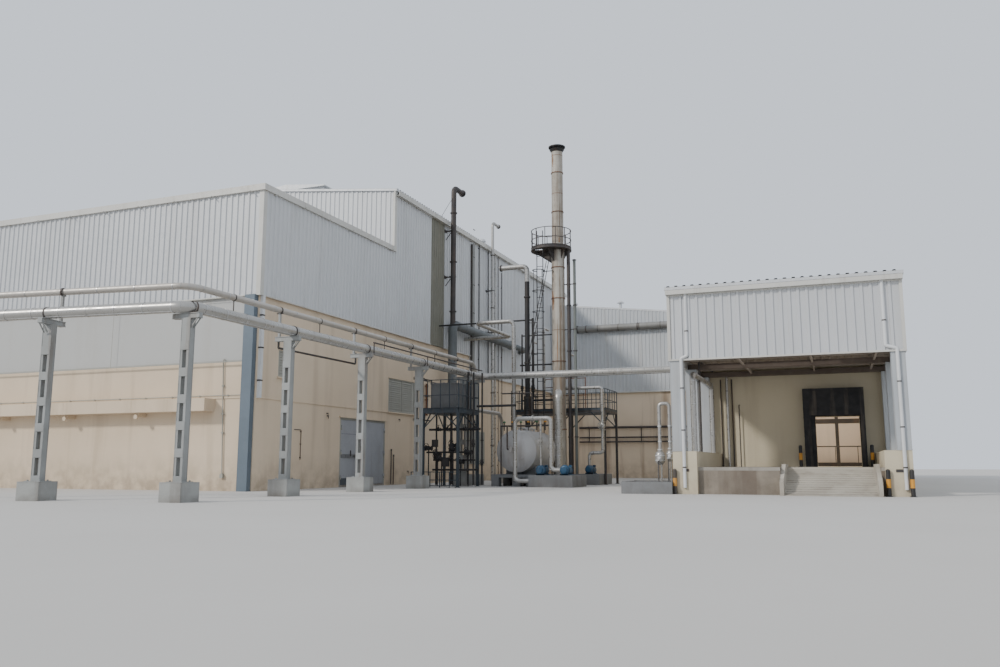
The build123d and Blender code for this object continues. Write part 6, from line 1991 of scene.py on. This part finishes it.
    def wing(self) -> None:
        """Adds the wing's posts, rail, valve stand and drip trim."""
        dark = Workpiece()
        for x in (6.9, 7.15):
            dark.bar((x, 19.7, 0.0), (x, 19.7, 1.35), 0.05)
        dark.tube([(6.9, 19.7, 1.3), (8.2, 19.7, 1.3)], 0.02, 0.0, 10)
        dark.bar((8.2, 19.7, 0.0), (8.2, 19.7, 1.3), 0.03)
        dark.tube([(8.1, 19.9, 2.0), (8.1, 19.9, 3.2)], 0.03, 0.0, 12)
        dark.tube([(7.9, 19.9, 3.2), (8.3, 19.9, 3.2)], 0.035, 0.0, 12)
        for z in (2.5, 2.75, 3.0):
            dark.valve((8.1, 19.9, z), UP, 0.026, -NORTH, 0.12)
        dark.lay("wing_posts", DARK_STEEL, "dark_steel")
        trim = Workpiece()
        trim.box((0.06, 19.9, 3.495), (12.66, 19.965, 3.515))
        trim.box((5.2, 19.965, 1.2), (6.2, 19.998, 1.235))
        trim.lay("wing_drip", TRIM, "trim")

    def build(self) -> None:
        """Adds every fitting of the yard."""
        self.tank()
        self.headers()
        self.pumps()
        self.valves()
        self.platforms()
        self.tray()
        self.wing()


@dataclass
class Studio:
    """Pale floor, soft light and the camera at the photograph's angle."""

    place: Point = (11.3636, -14.7924, 0.5605)
    pitch: float = 8.717
    heading: float = 21.483
    lens: float = 30.66
    sensor: float = 36.0
    floor_reach: float = 90.0

    def floor(self) -> None:
        """Lays the floor."""
        mesh = bpy.data.meshes.new("floor")
        r = self.floor_reach
        mesh.from_pydata([(-r, -r, 0), (r, -r, 0), (r, r, 0), (-r, r, 0)], [], [(0, 1, 2, 3)])
        kit = NodeKit("pale_floor")
        tone = kit.span(kit.noise(0.4, 5.0), 0.3, 0.7, 0.0, 0.4)
        kit.tree.links.new(kit.blend(tone, (0.52, 0.505, 0.48), (0.46, 0.445, 0.42)),
                           kit.shader.inputs["Base Color"])
        kit.shader.inputs["Roughness"].default_value = 0.9
        mesh.materials.append(kit.material)
        floor = bpy.data.objects.new("floor", mesh)
        bpy.context.scene.collection.objects.link(floor)

    def light(self) -> None:
        """Hangs a soft sun and a pale sky."""
        sun = bpy.data.lights.new("soft_sun", "SUN")
        sun.energy = 2.5
        sun.angle = math.radians(6)
        sun.color = (1.0, 0.96, 0.9)
        lamp = bpy.data.objects.new("soft_sun", sun)
        lamp.rotation_euler = Vector((0.62, 0.72, -0.62)).to_track_quat("-Z", "Y").to_euler()
        bpy.context.scene.collection.objects.link(lamp)
        for name, place, size, power in (("room_lamp", (10.5, 7.6, 3.6), (3.2, 2.6), 130.0),
                                         ("dock_lamp", (10.2, 3.4, 2.62), (2.6, 2.6), 14.0)):
            area = bpy.data.lights.new(name, "AREA")
            area.shape = "RECTANGLE"
            area.size, area.size_y = size
            area.energy = power
            area.color = (1.0, 0.97, 0.93)
            glow = bpy.data.objects.new(name, area)
            glow.location = place
            bpy.context.scene.collection.objects.link(glow)
        world = bpy.data.worlds.new("studio")
        world.use_nodes = True
        back = world.node_tree.nodes["Background"]
        back.inputs["Color"].default_value = (0.8, 0.86, 0.95, 1.0)
        back.inputs["Strength"].default_value = 1.1
        bpy.context.scene.world = world

    def camera(self) -> None:
        """Places the camera."""
        data = bpy.data.cameras.new("camera")
        data.lens = self.lens
        data.sensor_width = self.sensor
        data.clip_end = 300.0
        camera = bpy.data.objects.new("camera", data)
        camera.location = self.place
        camera.rotation_euler = (math.radians(90 + self.pitch), 0.0, math.radians(self.heading))
        bpy.context.scene.collection.objects.link(camera)
        bpy.context.scene.camera = camera

    def build(self) -> None:
        """Sets up the floor, the light and the camera."""
        self.floor()
        self.light()
        self.camera()


def main() -> None:
    """Builds the scene piece by piece."""
    logging.basicConfig(level=logging.INFO)
    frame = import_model()
    Studio().build()
    RibbedSheets(frame).build()
    Shell(frame).build()
    Plant(frame).build()
    Pipework().build()
    Rack().build()
    WallDetails().build()
    DockDetails().build()
    StackDetails().build()
    YardDetails().build()


if __name__ == "__main__":
    main()
